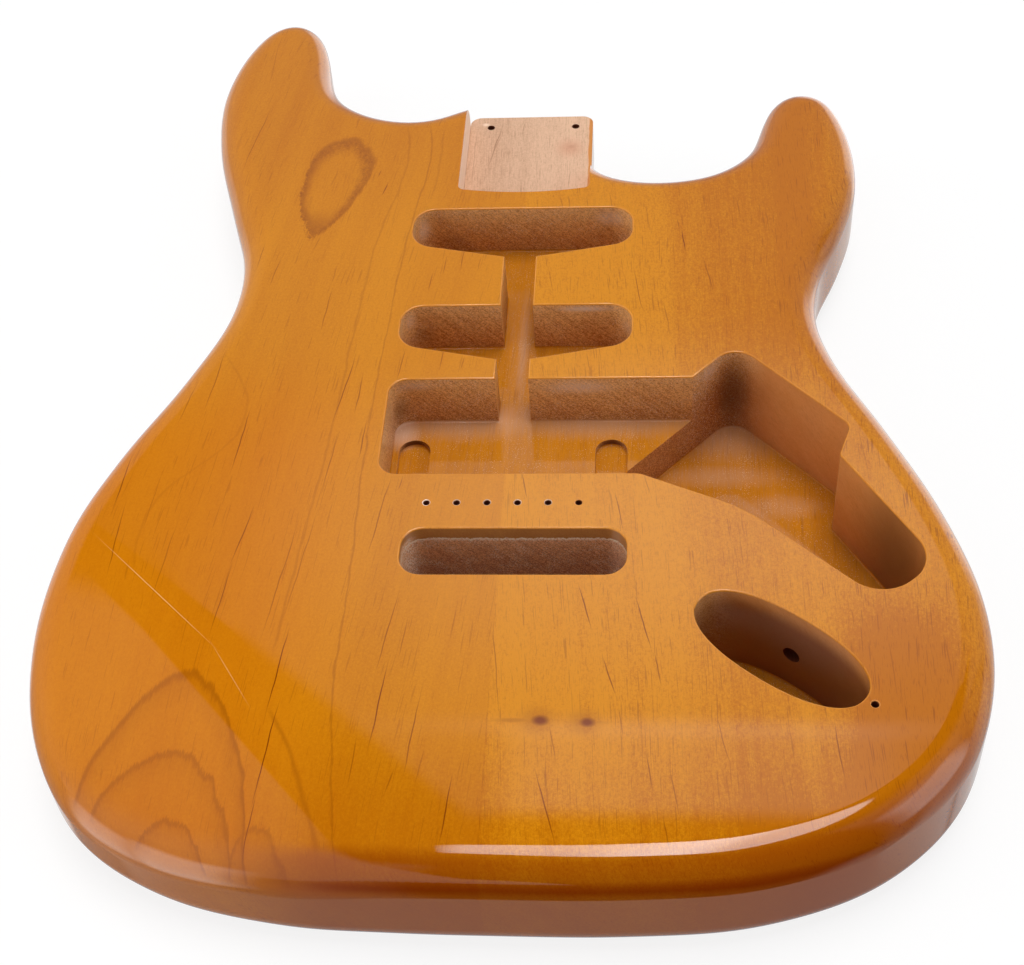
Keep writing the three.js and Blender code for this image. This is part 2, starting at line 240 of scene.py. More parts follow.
@dataclass
class Outline:
    """The body's outline in plan, a faired closed curve through shares of its width and length."""

    width: float = 328.5
    length: float = 467.1
    bridge_line: float = 150.8
    samples: int = 480
    fairing: int = 2
    fineness: int = 30
    shares: tuple[tuple[float, float], ...] = (
        (0, 0), (0.137, 0.001), (0.262, 0.01), (0.378, 0.041), (0.46, 0.095), (0.499, 0.165),
        (0.504, 0.241), (0.476, 0.326), (0.426, 0.414), (0.379, 0.488), (0.36, 0.545), (0.369, 0.602),
        (0.402, 0.662), (0.427, 0.725), (0.428, 0.788), (0.414, 0.834), (0.401, 0.852), (0.366, 0.862),
        (0.332, 0.852), (0.318, 0.834), (0.309, 0.812), (0.289, 0.771), (0.244, 0.741), (0.183, 0.73),
        (0.125, 0.735), (0.091, 0.751), (0.078, 0.785), (0.046, 0.828), (-0.024, 0.85), (-0.091, 0.849),
        (-0.125, 0.835), (-0.164, 0.829), (-0.219, 0.839), (-0.265, 0.865), (-0.289, 0.903),
        (-0.301, 0.946), (-0.311, 0.973), (-0.324, 0.99), (-0.357, 1), (-0.391, 0.99), (-0.409, 0.972),
        (-0.429, 0.933), (-0.44, 0.871), (-0.426, 0.794), (-0.387, 0.7), (-0.356, 0.622),
        (-0.358, 0.551), (-0.396, 0.468), (-0.448, 0.383), (-0.486, 0.297), (-0.496, 0.216),
        (-0.473, 0.134), (-0.414, 0.067), (-0.317, 0.025), (-0.195, 0.005), (-0.091, 0.001),
    )

    def stretch(self, index: int, part: float) -> Vector:
        """A point of the curve.

        Args:
            index: the stretch that it lies on, from the point of that number to the next.
            part: how far along that stretch, from 0 to 1.

        Returns:
            The point, in the plane Z = 0.
        """
        count = len(self.shares)
        places = [
            Vector((self.shares[(index + step) % count][0] * self.width,
                    self.shares[(index + step) % count][1] * self.length - self.bridge_line))
            for step in (-1, 0, 1, 2)
        ]
        gaps = [math.sqrt((places[step + 1] - places[step]).length) for step in range(3)]
        first, here, after, last = places
        enter = (here - first) / gaps[0] - (after - first) / (gaps[0] + gaps[1]) + (after - here) / gaps[1]
        leave = (after - here) / gaps[1] - (last - here) / (gaps[1] + gaps[2]) + (last - after) / gaps[2]
        enter, leave = enter * gaps[1], leave * gaps[1]
        square, cube = part * part, part * part * part
        place = (
            here * (2 * cube - 3 * square + 1) + after * (3 * square - 2 * cube)
            + enter * (cube - 2 * square + part) + leave * (cube - square)
        )
        return place.to_3d()

    def loop(self) -> list[Vector]:
        """The faired outline, evenly spaced and anticlockwise."""
        fine = [self.stretch(index, part / self.fineness)
                for index in range(len(self.shares)) for part in range(self.fineness)]
        lengths = [0.0]
        for index, place in enumerate(fine):
            lengths.append(lengths[-1] + (fine[(index + 1) % len(fine)] - place).length)
        even, index = [], 0
        for sample in range(self.samples):
            wanted = lengths[-1] * sample / self.samples
            while lengths[index + 1] < wanted:
                index += 1
            part = (wanted - lengths[index]) / (lengths[index + 1] - lengths[index])
            even.append(fine[index].lerp(fine[(index + 1) % len(fine)], part))
        reach = range(-self.fairing, self.fairing + 1)
        return [
            sum((even[(sample + step) % self.samples] for step in reach), Vector()) / len(reach)
            for sample in range(self.samples)
        ]


FOREARM_TURN = math.radians(222.5)


@dataclass
class ForearmContour:
    """The slope that eases the playing face under the forearm, past a softly bent crease."""

    crease: Vector = field(default_factory=lambda: Vector((-95, -68)))
    heading: Vector = field(default_factory=lambda: Vector((math.cos(FOREARM_TURN), math.sin(FOREARM_TURN))))
    slope: float = 0.15
    bend: float = 12.0
    bend_step: float = 1.0

    def distance(self, place: Vector) -> float:
        """How far a point lies past the crease."""
        return (place.to_2d() - self.crease).dot(self.heading)

    def drop(self, place: Vector) -> float:
        """How far the contour lowers a point of the face."""
        past = self.distance(place)
        if past <= -self.bend:
            return 0.0
        if past >= self.bend:
            return self.slope * past
        return self.slope * (past + self.bend) ** 2 / (4 * self.bend)

    def shape(self, bm: bmesh.types.BMesh, edge_radius: float) -> None:
        """Cuts the face along the bend, then lowers the face and its rounded edge.

        Args:
            bm: the blank.
            edge_radius: how far the rounded edge reaches down from the face.
        """
        count = round(2 * self.bend / self.bend_step)
        for index in range(count + 1):
            past = -self.bend + index * self.bend_step
            faces = [f for f in bm.faces if f.calc_center_median().z > -edge_radius]
            slice_faces(bm, faces, (self.crease + self.heading * past).to_3d(), self.heading.to_3d())
        for vert in bm.verts:
            if vert.co.z > -edge_radius - HEIGHT_TOLERANCE:
                vert.co.z -= self.drop(vert.co)


@dataclass
class BellyContour:
    """The scoop in the back, deepest at the waist on the bass side."""

    crease_x: float = -62.0
    centre_y: float = 112.0
    slope: float = 0.27
    drum_radius: float = 250.0
    softness: float = 2.0
    step: float = 5.0
    inner_margin: float = 20.0
    reach_y: float = 95.0
    reach_x: float = 105.0

    def depth(self, place: Vector) -> float:
        """How far the scoop raises a point of the back."""
        along = (place.y - self.centre_y) ** 2 / (2 * self.drum_radius)
        raw = (self.crease_x - place.x) * self.slope - along
        if raw <= -self.softness:
            return 0.0
        if raw >= self.softness:
            return raw
        return (raw + self.softness) ** 2 / (4 * self.softness)

    def shape(self, bm: bmesh.types.BMesh, thickness: float, edge_radius: float) -> None:
        """Cuts the back into a fine net where the scoop is, then raises it.

        Args:
            bm: the blank.
            thickness: the blank's thickness.
            edge_radius: how far the rounded edge reaches up from the back.
        """
        planes = [(Vector((self.crease_x + self.inner_margin - index * self.step, 0, 0)), Vector((1, 0, 0)))
                  for index in range(round((self.reach_x + self.inner_margin) / self.step))]
        planes += [(Vector((0, self.centre_y - self.reach_y + index * self.step, 0)), Vector((0, 1, 0)))
                   for index in range(round(2 * self.reach_y / self.step) + 1)]
        for place, normal in planes:
            faces = [f for f in bm.faces if f.calc_center_median().z < edge_radius - thickness]
            slice_faces(bm, faces, place, normal)
        for vert in bm.verts:
            if vert.co.z < edge_radius - thickness + HEIGHT_TOLERANCE:
                vert.co.z += self.depth(vert.co)


@dataclass
class GluedBlank:
    """The blank of two glued boards, with rounded edges and both contours."""

    outline: Outline = field(default_factory=Outline)
    thickness: float = BOARD_THICKNESS
    edge_radius: float = 12.7
    edge_segments: int = 12
    forearm: ForearmContour = field(default_factory=ForearmContour)
    belly: BellyContour = field(default_factory=BellyContour)

    def build(self) -> bpy.types.Object:
        """Makes the shaped blank, without its heel and its routs."""
        bm = bmesh.new()
        ring = [bm.verts.new(place - Vector((0, 0, self.thickness))) for place in self.outline.loop()]
        base = bm.faces.new(ring)
        raised = bmesh.ops.extrude_face_region(bm, geom=[base])
        top = [item for item in raised["geom"] if isinstance(item, bmesh.types.BMVert)]
        bmesh.ops.translate(bm, verts=top, vec=(0, 0, self.thickness))
        bmesh.ops.recalc_face_normals(bm, faces=bm.faces)
        rims = [e for e in bm.edges if abs(e.verts[0].co.z - e.verts[1].co.z) < LEVEL_TOLERANCE]
        round_edges(bm, rims, self.edge_radius, self.edge_segments)
        self.forearm.shape(bm, self.edge_radius)
        self.belly.shape(bm, self.thickness, self.edge_radius)
        return mesh_object(bm, "blank", [Finish.FACE])


@dataclass
class Heel:
    """The block under the neck pocket, rounded at its front corners and along its back edges."""

    left: float = -28.78
    right: float = 27.18
    front: float = 251.8
    root_length: float = 80.0
    top: float = -14.4
    bottom: float = -BOARD_THICKNESS
    corner_radius: float = 5.0
    edge_radius: float = 9.0
    segments: int = 10

    def block(self, name: str, rounded: str) -> bpy.types.Object:
        """Makes a plain block with one set of its edges rounded.

        Args:
            name: the block's name.
            rounded: "corners" for the upright front edges, "under" for the edges below.

        Returns:
            The block.
        """
        bm = bmesh.new()
        size = Vector((self.right - self.left, self.root_length, self.top - self.bottom))
        root = self.front - self.root_length
        centre = Vector(((self.left + self.right) / 2, self.front - self.root_length / 2,
                         (self.top + self.bottom) / 2))
        bmesh.ops.create_cube(bm, size=1, matrix=Matrix.Translation(centre) @ Matrix.Diagonal((*size, 1)))
        if rounded == "corners":
            chosen = [e for e in bm.edges
                      if abs(e.verts[0].co.z - e.verts[1].co.z) > 1 and e.verts[0].co.y > centre.y]
            radius = self.corner_radius
        else:
            chosen = [e for e in bm.edges if all(v.co.z < centre.z for v in e.verts)
                      and any(v.co.y > root + HEIGHT_TOLERANCE for v in e.verts)]
            radius = self.edge_radius
        round_edges(bm, chosen, radius, self.segments)
        return mesh_object(bm, name, [Finish.FACE])

    def build(self) -> bpy.types.Object:
        """Makes the heel block."""
        heel = self.block("heel", "under")
        combine(heel, self.block("heel_plan", "corners"), "INTERSECT")
        return heel


@dataclass
class Rout:
    """A hollow cut straight in from the playing face, or from the back, with a softened rim and floor corner."""

    loop: list[Vector]
    depth: float
    lip: float = 0.6
    floor_corner: float = 0.8
    steps: int = 4
    from_back: bool = False
    thickness: float = BOARD_THICKNESS
    rim: Finish = Finish.RIM
    wall: Finish = Finish.ROUGH_WALL
    floor: Finish = Finish.FLOOR

    def rings(self) -> list[tuple[float, float, Finish]]:
        """(height, offset, finish of the band below) of each ring, from the floor up."""
        rings = []
        if self.floor_corner > 0:
            for step in range(self.steps + 1):
                turn = math.pi / 2 * step / self.steps
                inset = self.floor_corner * (1 - math.sin(turn))
                rings.append((-self.depth + self.floor_corner * (1 - math.cos(turn)), -inset, self.floor))
        else:
            rings.append((-self.depth, 0.0, self.floor))
        if self.lip > 0:
            for step in range(self.steps + 1):
                turn = math.pi / 2 * step / self.steps
                spread = self.lip * (1 - math.cos(turn))
                finish = self.wall if step == 0 else self.rim
                rings.append((-self.lip + self.lip * math.sin(turn), spread, finish))
            rings.append((OVERRUN, self.lip, self.rim))
        else:
            rings.append((OVERRUN, 0.0, self.wall))
        return rings

    def add_to(self, bm: bmesh.types.BMesh, slots: list[Finish]) -> None:
        """Adds the cutter's closed shape to a bmesh.

        Args:
            bm: the bmesh that gathers cutters.
            slots: the finishes of its material slots, in order.
        """
        lower = None
        made = []
        for index, (height, spread, finish) in enumerate(self.rings()):
            loop = offset_loop(self.loop, spread) if spread else self.loop
            verts = [bm.verts.new((place.x, place.y, height)) for place in loop]
            edges = [bm.edges.new((verts[k - 1], verts[k])) for k in range(len(verts))]
            if lower is None:
                cap = bm.faces.new(verts)
                cap.material_index = slots.index(self.floor)
                made.append(cap)
            else:
                band = bmesh.ops.bridge_loops(bm, edges=lower + edges)["faces"]
                for face in band:
                    face.material_index = slots.index(finish)
                made += band
            lower = edges
            last = verts
        lid = bm.faces.new(last)
        lid.material_index = slots.index(self.rim)
        made.append(lid)
        if self.from_back:
            for vert in {v for f in made for v in f.verts}:
                vert.co.z = -self.thickness - vert.co.z
        bm.normal_update()
        bmesh.ops.recalc_face_normals(bm, faces=made)


@dataclass
class Bore:
    """A round hole drilled sideways, from its mouth along a heading."""

    mouth: Vector
    heading: Vector
    radius: float
    depth: float

    def add_to(self, bm: bmesh.types.BMesh, slots: list[Finish]) -> None:
        """Adds the drill's closed shape to a bmesh.

        Args:
            bm: the bmesh that gathers cutters.
            slots: the finishes of its material slots, in order.
        """
        length = self.depth + OVERRUN
        centre = self.mouth + self.heading.normalized() * (length / 2 - OVERRUN)
        turn = self.heading.to_track_quat("Z", "Y").to_matrix().to_4x4()
        made = bmesh.ops.create_cone(
            bm, cap_ends=True, segments=ROUND_SIDES, radius1=self.radius, radius2=self.radius, depth=length,
            matrix=Matrix.Translation(centre) @ turn,
        )
        for face in {f for v in made["verts"] for f in v.link_faces}:
            face.material_index = slots.index(Finish.BORE)


@dataclass
class NeckJoint:
    """The pocket for the neck's heel and its four bolt holes."""

    left: float = -28.8
    right: float = 27.2
    depth: float = 15.4
    heel_y: float = 177.4
    bow: float = 2.8
    corner_radius: float = 3.0
    front: float = 251.8
    bolts_across: float = 38.6
    bolts_along: float = 50.8
    bolts_front: float = 244.2
    bolt_radius: float = 1.7
    heel_steps: int = 20

    def pocket(self) -> Rout:
        """The pocket, open towards the neck, with its heel end bowed."""
        middle = (self.left + self.right) / 2
        half = (self.right - self.left) / 2
        radius = (half * half + self.bow * self.bow) / (2 * self.bow)
        corner = self.corner_radius
        heel = []
        for index in range(self.heel_steps + 1):
            x = self.left + corner + (2 * half - 2 * corner) * index / self.heel_steps
            y = self.heel_y + radius - math.sqrt(radius * radius - (x - middle) ** 2)
            heel.append(Vector((x, y, 0)))
        shoulder = heel[0].y
        turns = [math.radians(turn) for turn in range(0, 90, 15)]
        left_turn = [Vector((self.left + corner * (1 - math.cos(turn)),
                             shoulder + corner * (1 - math.sin(turn)), 0)) for turn in turns]
        right_turn = [Vector((self.left + self.right - place.x, place.y, 0)) for place in reversed(left_turn)]
        mouth = [Vector((self.right, self.front + OVERRUN, 0)), Vector((self.left, self.front + OVERRUN, 0))]
        return Rout(
            loop=[*mouth, *left_turn, *heel, *right_turn], depth=self.depth, lip=0.3, floor_corner=0.0,
            wall=Finish.POCKET, floor=Finish.POCKET,
        )

    def bolt_holes(self) -> list[Rout]:
        """The four holes through the heel."""
        places = [(side * self.bolts_across / 2, self.bolts_front - row * self.bolts_along)
                  for side in (-1, 1) for row in (0, 1)]
        return [
            Rout(loop=circle_loop(x, y, self.bolt_radius), depth=BOARD_THICKNESS + OVERRUN, lip=0.0,
                 floor_corner=0.0, wall=Finish.BORE, floor=Finish.BORE, rim=Finish.BORE)
            for x, y in places
        ]


@dataclass
class PickupRouts:
    """Three pickup routs, the wire channel and the two leg pockets."""

    depth: float = 23.3
    half_length: float = 45.5
    end_width: float = 22.3
    belly_width: float = 32.4
    far_radius: float = 9.0
    near_radius: float = 10.0
    far_rows: tuple[float, float] = (166.2, 105.4)
    channel_half: float = 6.35
    bridge_left: float = -46.4
    bridge_near: float = 14.3
    bridge_far: float = 63.5
    bridge_radius: float = 7.0
    leg_middle: float = 37.875
    leg_half: float = 6.125
    leg_near: float = 24.8
    leg_far: float = 53.3
    leg_depth: float = 26.4

    def single_coil(self, far: float) -> Rout:
        """A rout for a single-coil pickup, whose near side comes to a shallow point."""
        return Rout(loop=filleted_loop([
            (-self.half_length, far - self.end_width, self.near_radius),
            (0, far - self.belly_width, 0),
            (self.half_length, far - self.end_width, self.near_radius),
            (self.half_length, far, self.far_radius),
            (-self.half_length, far, self.far_radius),
        ]), depth=self.depth)

    def bridge(self, near_right: float, far_right: float) -> Rout:
        """The wide rout by the bridge, open to the control cavity."""
        return Rout(loop=filleted_loop([
            (self.bridge_left, self.bridge_near, self.bridge_radius),
            (near_right, self.bridge_near, 0),
            (far_right, self.bridge_far, 0),
            (self.bridge_left, self.bridge_far, self.bridge_radius),
        ]), depth=self.depth)

    def channel(self) -> Rout:
        """The channel for the wires, at the routs' depth."""
        far = self.far_rows[0] - self.end_width
        near = self.bridge_far - self.bridge_radius
        return Rout(loop=rectangle_loop(-self.channel_half, self.channel_half, near, far, 0), depth=self.depth)

    def legs(self) -> list[Rout]:
        """The deeper pockets for the legs of a wide pickup."""
        return [
            Rout(loop=rectangle_loop(side * self.leg_middle - self.leg_half, side * self.leg_middle + self.leg_half,
                                     self.leg_near, self.leg_far, self.leg_half),
                 depth=self.leg_depth, lip=0.0)
            for side in (-1, 1)
        ]


@dataclass
class ControlCavity:
    """The deep cavity for the controls, stepped down from the bridge rout."""

    depth: float = 40.8
    reach: float = 150.2
    length: float = 125.0
    near: float = 14.3
    shares: tuple[tuple[float, float, float], ...] = (
        (0.253, 0, 0.02), (0.324, 0, 0.04), (0.568, -0.134, 0.4), (0.864, -0.463, 0.093), (1, -0.33, 0.093),
        (0.802, 0.07, 0.02), (0.836, 0.19, 0.033), (0.567, 0.537, 0.06), (0.253, 0.126, 0.033),
    )

    def corners(self) -> list[tuple[float, float, float]]:
        """(x, y, fillet radius) of each corner."""
        return [(across * self.reach, self.near + along * self.length, fillet * self.reach)
                for across, along, fillet in self.shares]

    def rout(self) -> Rout:
        """The cavity itself."""
        return Rout(loop=filleted_loop(self.corners(), 5), depth=self.depth, wall=Finish.SMOOTH_WALL)

    def step_at(self, y: float) -> float:
        """Where the slanted step crosses a line across the body."""
        (step_x, step_y, _), (lobe_x, lobe_y, _) = self.corners()[-1], self.corners()[-2]
        return step_x + (lobe_x - step_x) * (y - step_y) / (lobe_y - step_y)


@dataclass
class BridgeSeat:
    """The bridge's screw holes, the slot for its block, and the spring cavity in the back."""

    screw_count: int = 6
    screw_spacing: float = 10.9
    screw_radius: float = 1.2
    screw_depth: float = 20.0
    slot_left: float = -34.7
    slot_right: float = 44.4
    slot_near: float = -33.0
    slot_far: float = -12.1
    slot_radius: float = 8.0
    spring_half: float = 28.5
    spring_end: float = 84.0
    cavity_depth: float = 16.0
    cavity_radius: float = 7.0
    cavity_margin: float = 6.0
    block_half: float = 42.5
    claw_half: float = 13.0
    claw_radius: float = 1.5
    claw_depth: float = 20.0
    cover_half: float = 40.0
    cover_radius: float = 1.2
    cover_rows: tuple[float, float, float] = (-48.0, 22.0, 92.0)
    cover_depth: float = 9.0
    cover_depth_under_cavity: float = 2.8

    def screw_holes(self) -> list[Rout]:
        """The row of six pilot holes."""
        places = [(index - (self.screw_count - 1) / 2) * self.screw_spacing for index in range(self.screw_count)]
        return [Rout(loop=circle_loop(x, 0, self.screw_radius), depth=self.screw_depth, lip=0.3, floor_corner=0.0,
                     rim=Finish.POCKET, wall=Finish.BORE, floor=Finish.BORE) for x in places]

    def slot(self) -> Rout:
        """The slot for the block, through to the back."""
        loop = rectangle_loop(self.slot_left, self.slot_right, self.slot_near, self.slot_far, self.slot_radius)
        return Rout(loop=loop, depth=BOARD_THICKNESS + OVERRUN, floor_corner=0.0, wall=Finish.SLOT_WALL)

    def spring_cavity(self) -> Rout:
        """The part of the back cavity that holds the springs."""
        near = self.slot_near - self.cavity_margin
        loop = rectangle_loop(-self.spring_half, self.spring_half, near, self.spring_end, self.cavity_radius)
        return Rout(loop=loop, depth=self.cavity_depth, from_back=True)

    def block_cavity(self) -> Rout:
        """The wider part of the back cavity, where the block swings."""
        middle = (self.slot_left + self.slot_right) / 2
        near, far = self.slot_near - self.cavity_margin, self.slot_far + self.cavity_margin
        loop = rectangle_loop(middle - self.block_half, middle + self.block_half, near, far, self.cavity_radius)
        return Rout(loop=loop, depth=self.cavity_depth, from_back=True)

    def claw_holes(self) -> list[Bore]:
        """The two holes for the claw's screws."""
        height = self.cavity_depth / 2 - BOARD_THICKNESS
        return [Bore(mouth=Vector((side * self.claw_half, self.spring_end, height)), heading=Vector((0, 1, 0)),
                     radius=self.claw_radius, depth=self.claw_depth) for side in (-1, 1)]

    def cover_holes(self) -> list[Rout]:
        """The pilot holes for the back cover, short where only the control cavity's thin floor is over them."""
        under_cavity = (1, self.cover_rows[1])
        return [Rout(loop=circle_loop(side * self.cover_half, y, self.cover_radius),
                     depth=self.cover_depth_under_cavity if (side, y) == under_cavity else self.cover_depth,
                     lip=0.3, floor_corner=0.0, from_back=True, wall=Finish.BORE, floor=Finish.BORE)
                for side in (-1, 1) for y in self.cover_rows]


@dataclass
class JackRout:
    """The slanted oval rout for the output jack, its plate's screw hole and the wire bores."""

    x: float = 94.8
    y: float = -63.9
    length: float = 65.2
    width: float = 28.6
    squareness: float = 2.25
    tilt: float = math.radians(-38)
    depth: float = 39.0
    samples: int = 96
    screw_reach: float = 36.4
    screw_radius: float = 1.3
    screw_depth: float = 12.0
    bore_along: float = -4.0
    bore_drop: float = 22.4
    bore_radius: float = 3.25
    bore_depth: float = 34.0
    bore_heading: float = math.radians(44)

    def place(self, along: float, across: float) -> Vector:
        """A plan point given along and across the rout."""
        return (Vector((self.x, self.y)) + Matrix.Rotation(self.tilt, 2) @ Vector((along, across))).to_3d()

    def rout(self) -> Rout:
        """The oval rout."""
        power = 2 / self.squareness
        loop = []
        for index in range(self.samples):
            turn = 2 * math.pi * index / self.samples
            along = math.copysign(abs(math.cos(turn)) ** power, math.cos(turn)) * self.length / 2
            across = math.copysign(abs(math.sin(turn)) ** power, math.sin(turn)) * self.width / 2
            loop.append(self.place(along, across))
        return Rout(loop=loop, depth=self.depth, wall=Finish.SMOOTH_WALL)

    def screw_hole(self) -> Rout:
        """The screw hole past the rout's lower end."""
        centre = self.place(self.screw_reach, 0)
        return Rout(loop=circle_loop(centre.x, centre.y, self.screw_radius), depth=self.screw_depth, lip=0.35,
                    floor_corner=0.0, rim=Finish.POCKET, wall=Finish.BORE, floor=Finish.BORE)

    def wire_bore(self) -> Bore:
        """The bore from the rout's far wall to the control cavity."""
        mouth = self.place(self.bore_along, self.width / 2)
        mouth.z = -self.bore_drop
        heading = Vector((math.cos(self.bore_heading), math.sin(self.bore_heading), 0))
        return Bore(mouth=mouth, heading=heading, radius=self.bore_radius, depth=self.bore_depth)


@dataclass
class GuitarBody:
    """The whole body: shaped blank and heel, cut by every rout, then parted at the glue line."""

    blank: GluedBlank = field(default_factory=GluedBlank)
    heel: Heel = field(default_factory=Heel)
    neck: NeckJoint = field(default_factory=NeckJoint)
    pickups: PickupRouts = field(default_factory=PickupRouts)
    controls: ControlCavity = field(default_factory=ControlCavity)
    bridge: BridgeSeat = field(default_factory=BridgeSeat)
    jack: JackRout = field(default_factory=JackRout)
    ground_bore_y: float = 34.0
    ground_bore_drop: float = 36.0
    ground_bore_radius: float = 2.0
    ground_bore_depth: float = 34.0
    sharp_angle: float = math.radians(32)
    half_size: tuple[float, float, float] = (300, 900, 200)

    def cut_rounds(self) -> list[list[Rout | Bore]]:
        """The cutters in rounds. Those of one round don't touch each other."""
        pickups, controls = self.pickups, self.controls
        near_right = controls.corners()[1][0]
        ground = Bore(mouth=Vector((self.bridge.spring_half, self.ground_bore_y, -self.ground_bore_drop)),
                      heading=Vector((1, 0, 0)), radius=self.ground_bore_radius, depth=self.ground_bore_depth)
        return [
            [self.neck.pocket(), *[pickups.single_coil(far) for far in pickups.far_rows],
             pickups.bridge(near_right, controls.step_at(pickups.bridge_far)), self.bridge.slot(),
             self.jack.rout()],
            [pickups.channel(), controls.rout()],
            [*pickups.legs(), self.bridge.spring_cavity(), self.jack.wire_bore()],
            [self.bridge.block_cavity(), ground, *self.neck.bolt_holes(), *self.bridge.screw_holes(),
             *self.bridge.claw_holes(), *self.bridge.cover_holes(), self.jack.screw_hole()],
        ]

    def shape(self) -> bpy.types.Object:
        """Makes the whole body as one piece."""
        body = self.blank.build()
        combine(body, self.heel.build(), "UNION")
        slots = list(Finish)
        for number, cutters in enumerate(self.cut_rounds()):
            bm = bmesh.new()
            for cutter in cutters:
                cutter.add_to(bm, slots)
            combine(body, mesh_object(bm, f"cutters_{number}", slots), "DIFFERENCE")
            log.info("cut round %d: %d faces", number, len(body.data.polygons))
        return body

    def board(self, body: bpy.types.Object, side: int, name: str) -> bpy.types.Object:
        """Parts one board from the body and moves it to the row frame.

        Args:
            body: the whole body.
            side: -1 for the bass side, 1 for the treble side.
            name: the piece's name.

        Returns:
            The finished board.
        """
        bm = bmesh.new()
        size = Matrix.Diagonal((*self.half_size, 1))
        bmesh.ops.create_cube(bm, size=1, matrix=Matrix.Translation((side * self.half_size[0] / 2, 0, 0)) @ size)
        half = mesh_object(bm, "half", [Finish.GLUE])
        piece = body.copy()
        piece.data = body.data.copy()
        piece.name = name
        bpy.context.scene.collection.objects.link(piece)
        combine(piece, half, "INTERSECT")
        tidy = bmesh.new()
        tidy.from_mesh(piece.data)
        bmesh.ops.remove_doubles(tidy, verts=tidy.verts, dist=MERGE_DISTANCE)
        bmesh.ops.dissolve_degenerate(tidy, edges=tidy.edges, dist=MERGE_DISTANCE)
        bmesh.ops.transform(tidy, matrix=SHAPING_TO_ROW, verts=tidy.verts)
        for face in tidy.faces:
            face.smooth = True
        tidy.to_mesh(piece.data)
        tidy.free()
        piece.data.name = name
        piece.data.set_sharp_from_angle(angle=self.sharp_angle)
        share = piece.data.attributes.new("end_grain", "FLOAT", "CORNER")
        share.data.foreach_set("value", [abs(corner.vector.y) for corner in piece.data.corner_normals])
        even = piece.modifiers.new("even_shading", "WEIGHTED_NORMAL")
        even.keep_sharp = True
        even.weight = 50
        return piece

    def build(self) -> dict[str, bpy.types.Object]:
        """Makes both boards, and puts each in its CAD node's place."""
        whole = self.shape()
        boards = {}
        for side, node, slot in ((-1, "bass_side_board", "bass_board_wood"),
                                 (1, "treble_side_board", "treble_board_wood")):
            piece = self.board(whole, side, f"{node}_lacquered")
            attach(piece, "root")
            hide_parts(node)
            boards[node] = piece
            log.info("%s: %d faces", piece.name, len(piece.data.polygons))
        bpy.data.objects.remove(whole)
        return boards


# ---------------------------------------------------------------- finishes


NOISE_STRIDE = (17.3, 11.9, 7.1)
WHITE = (1, 1, 1, 1)


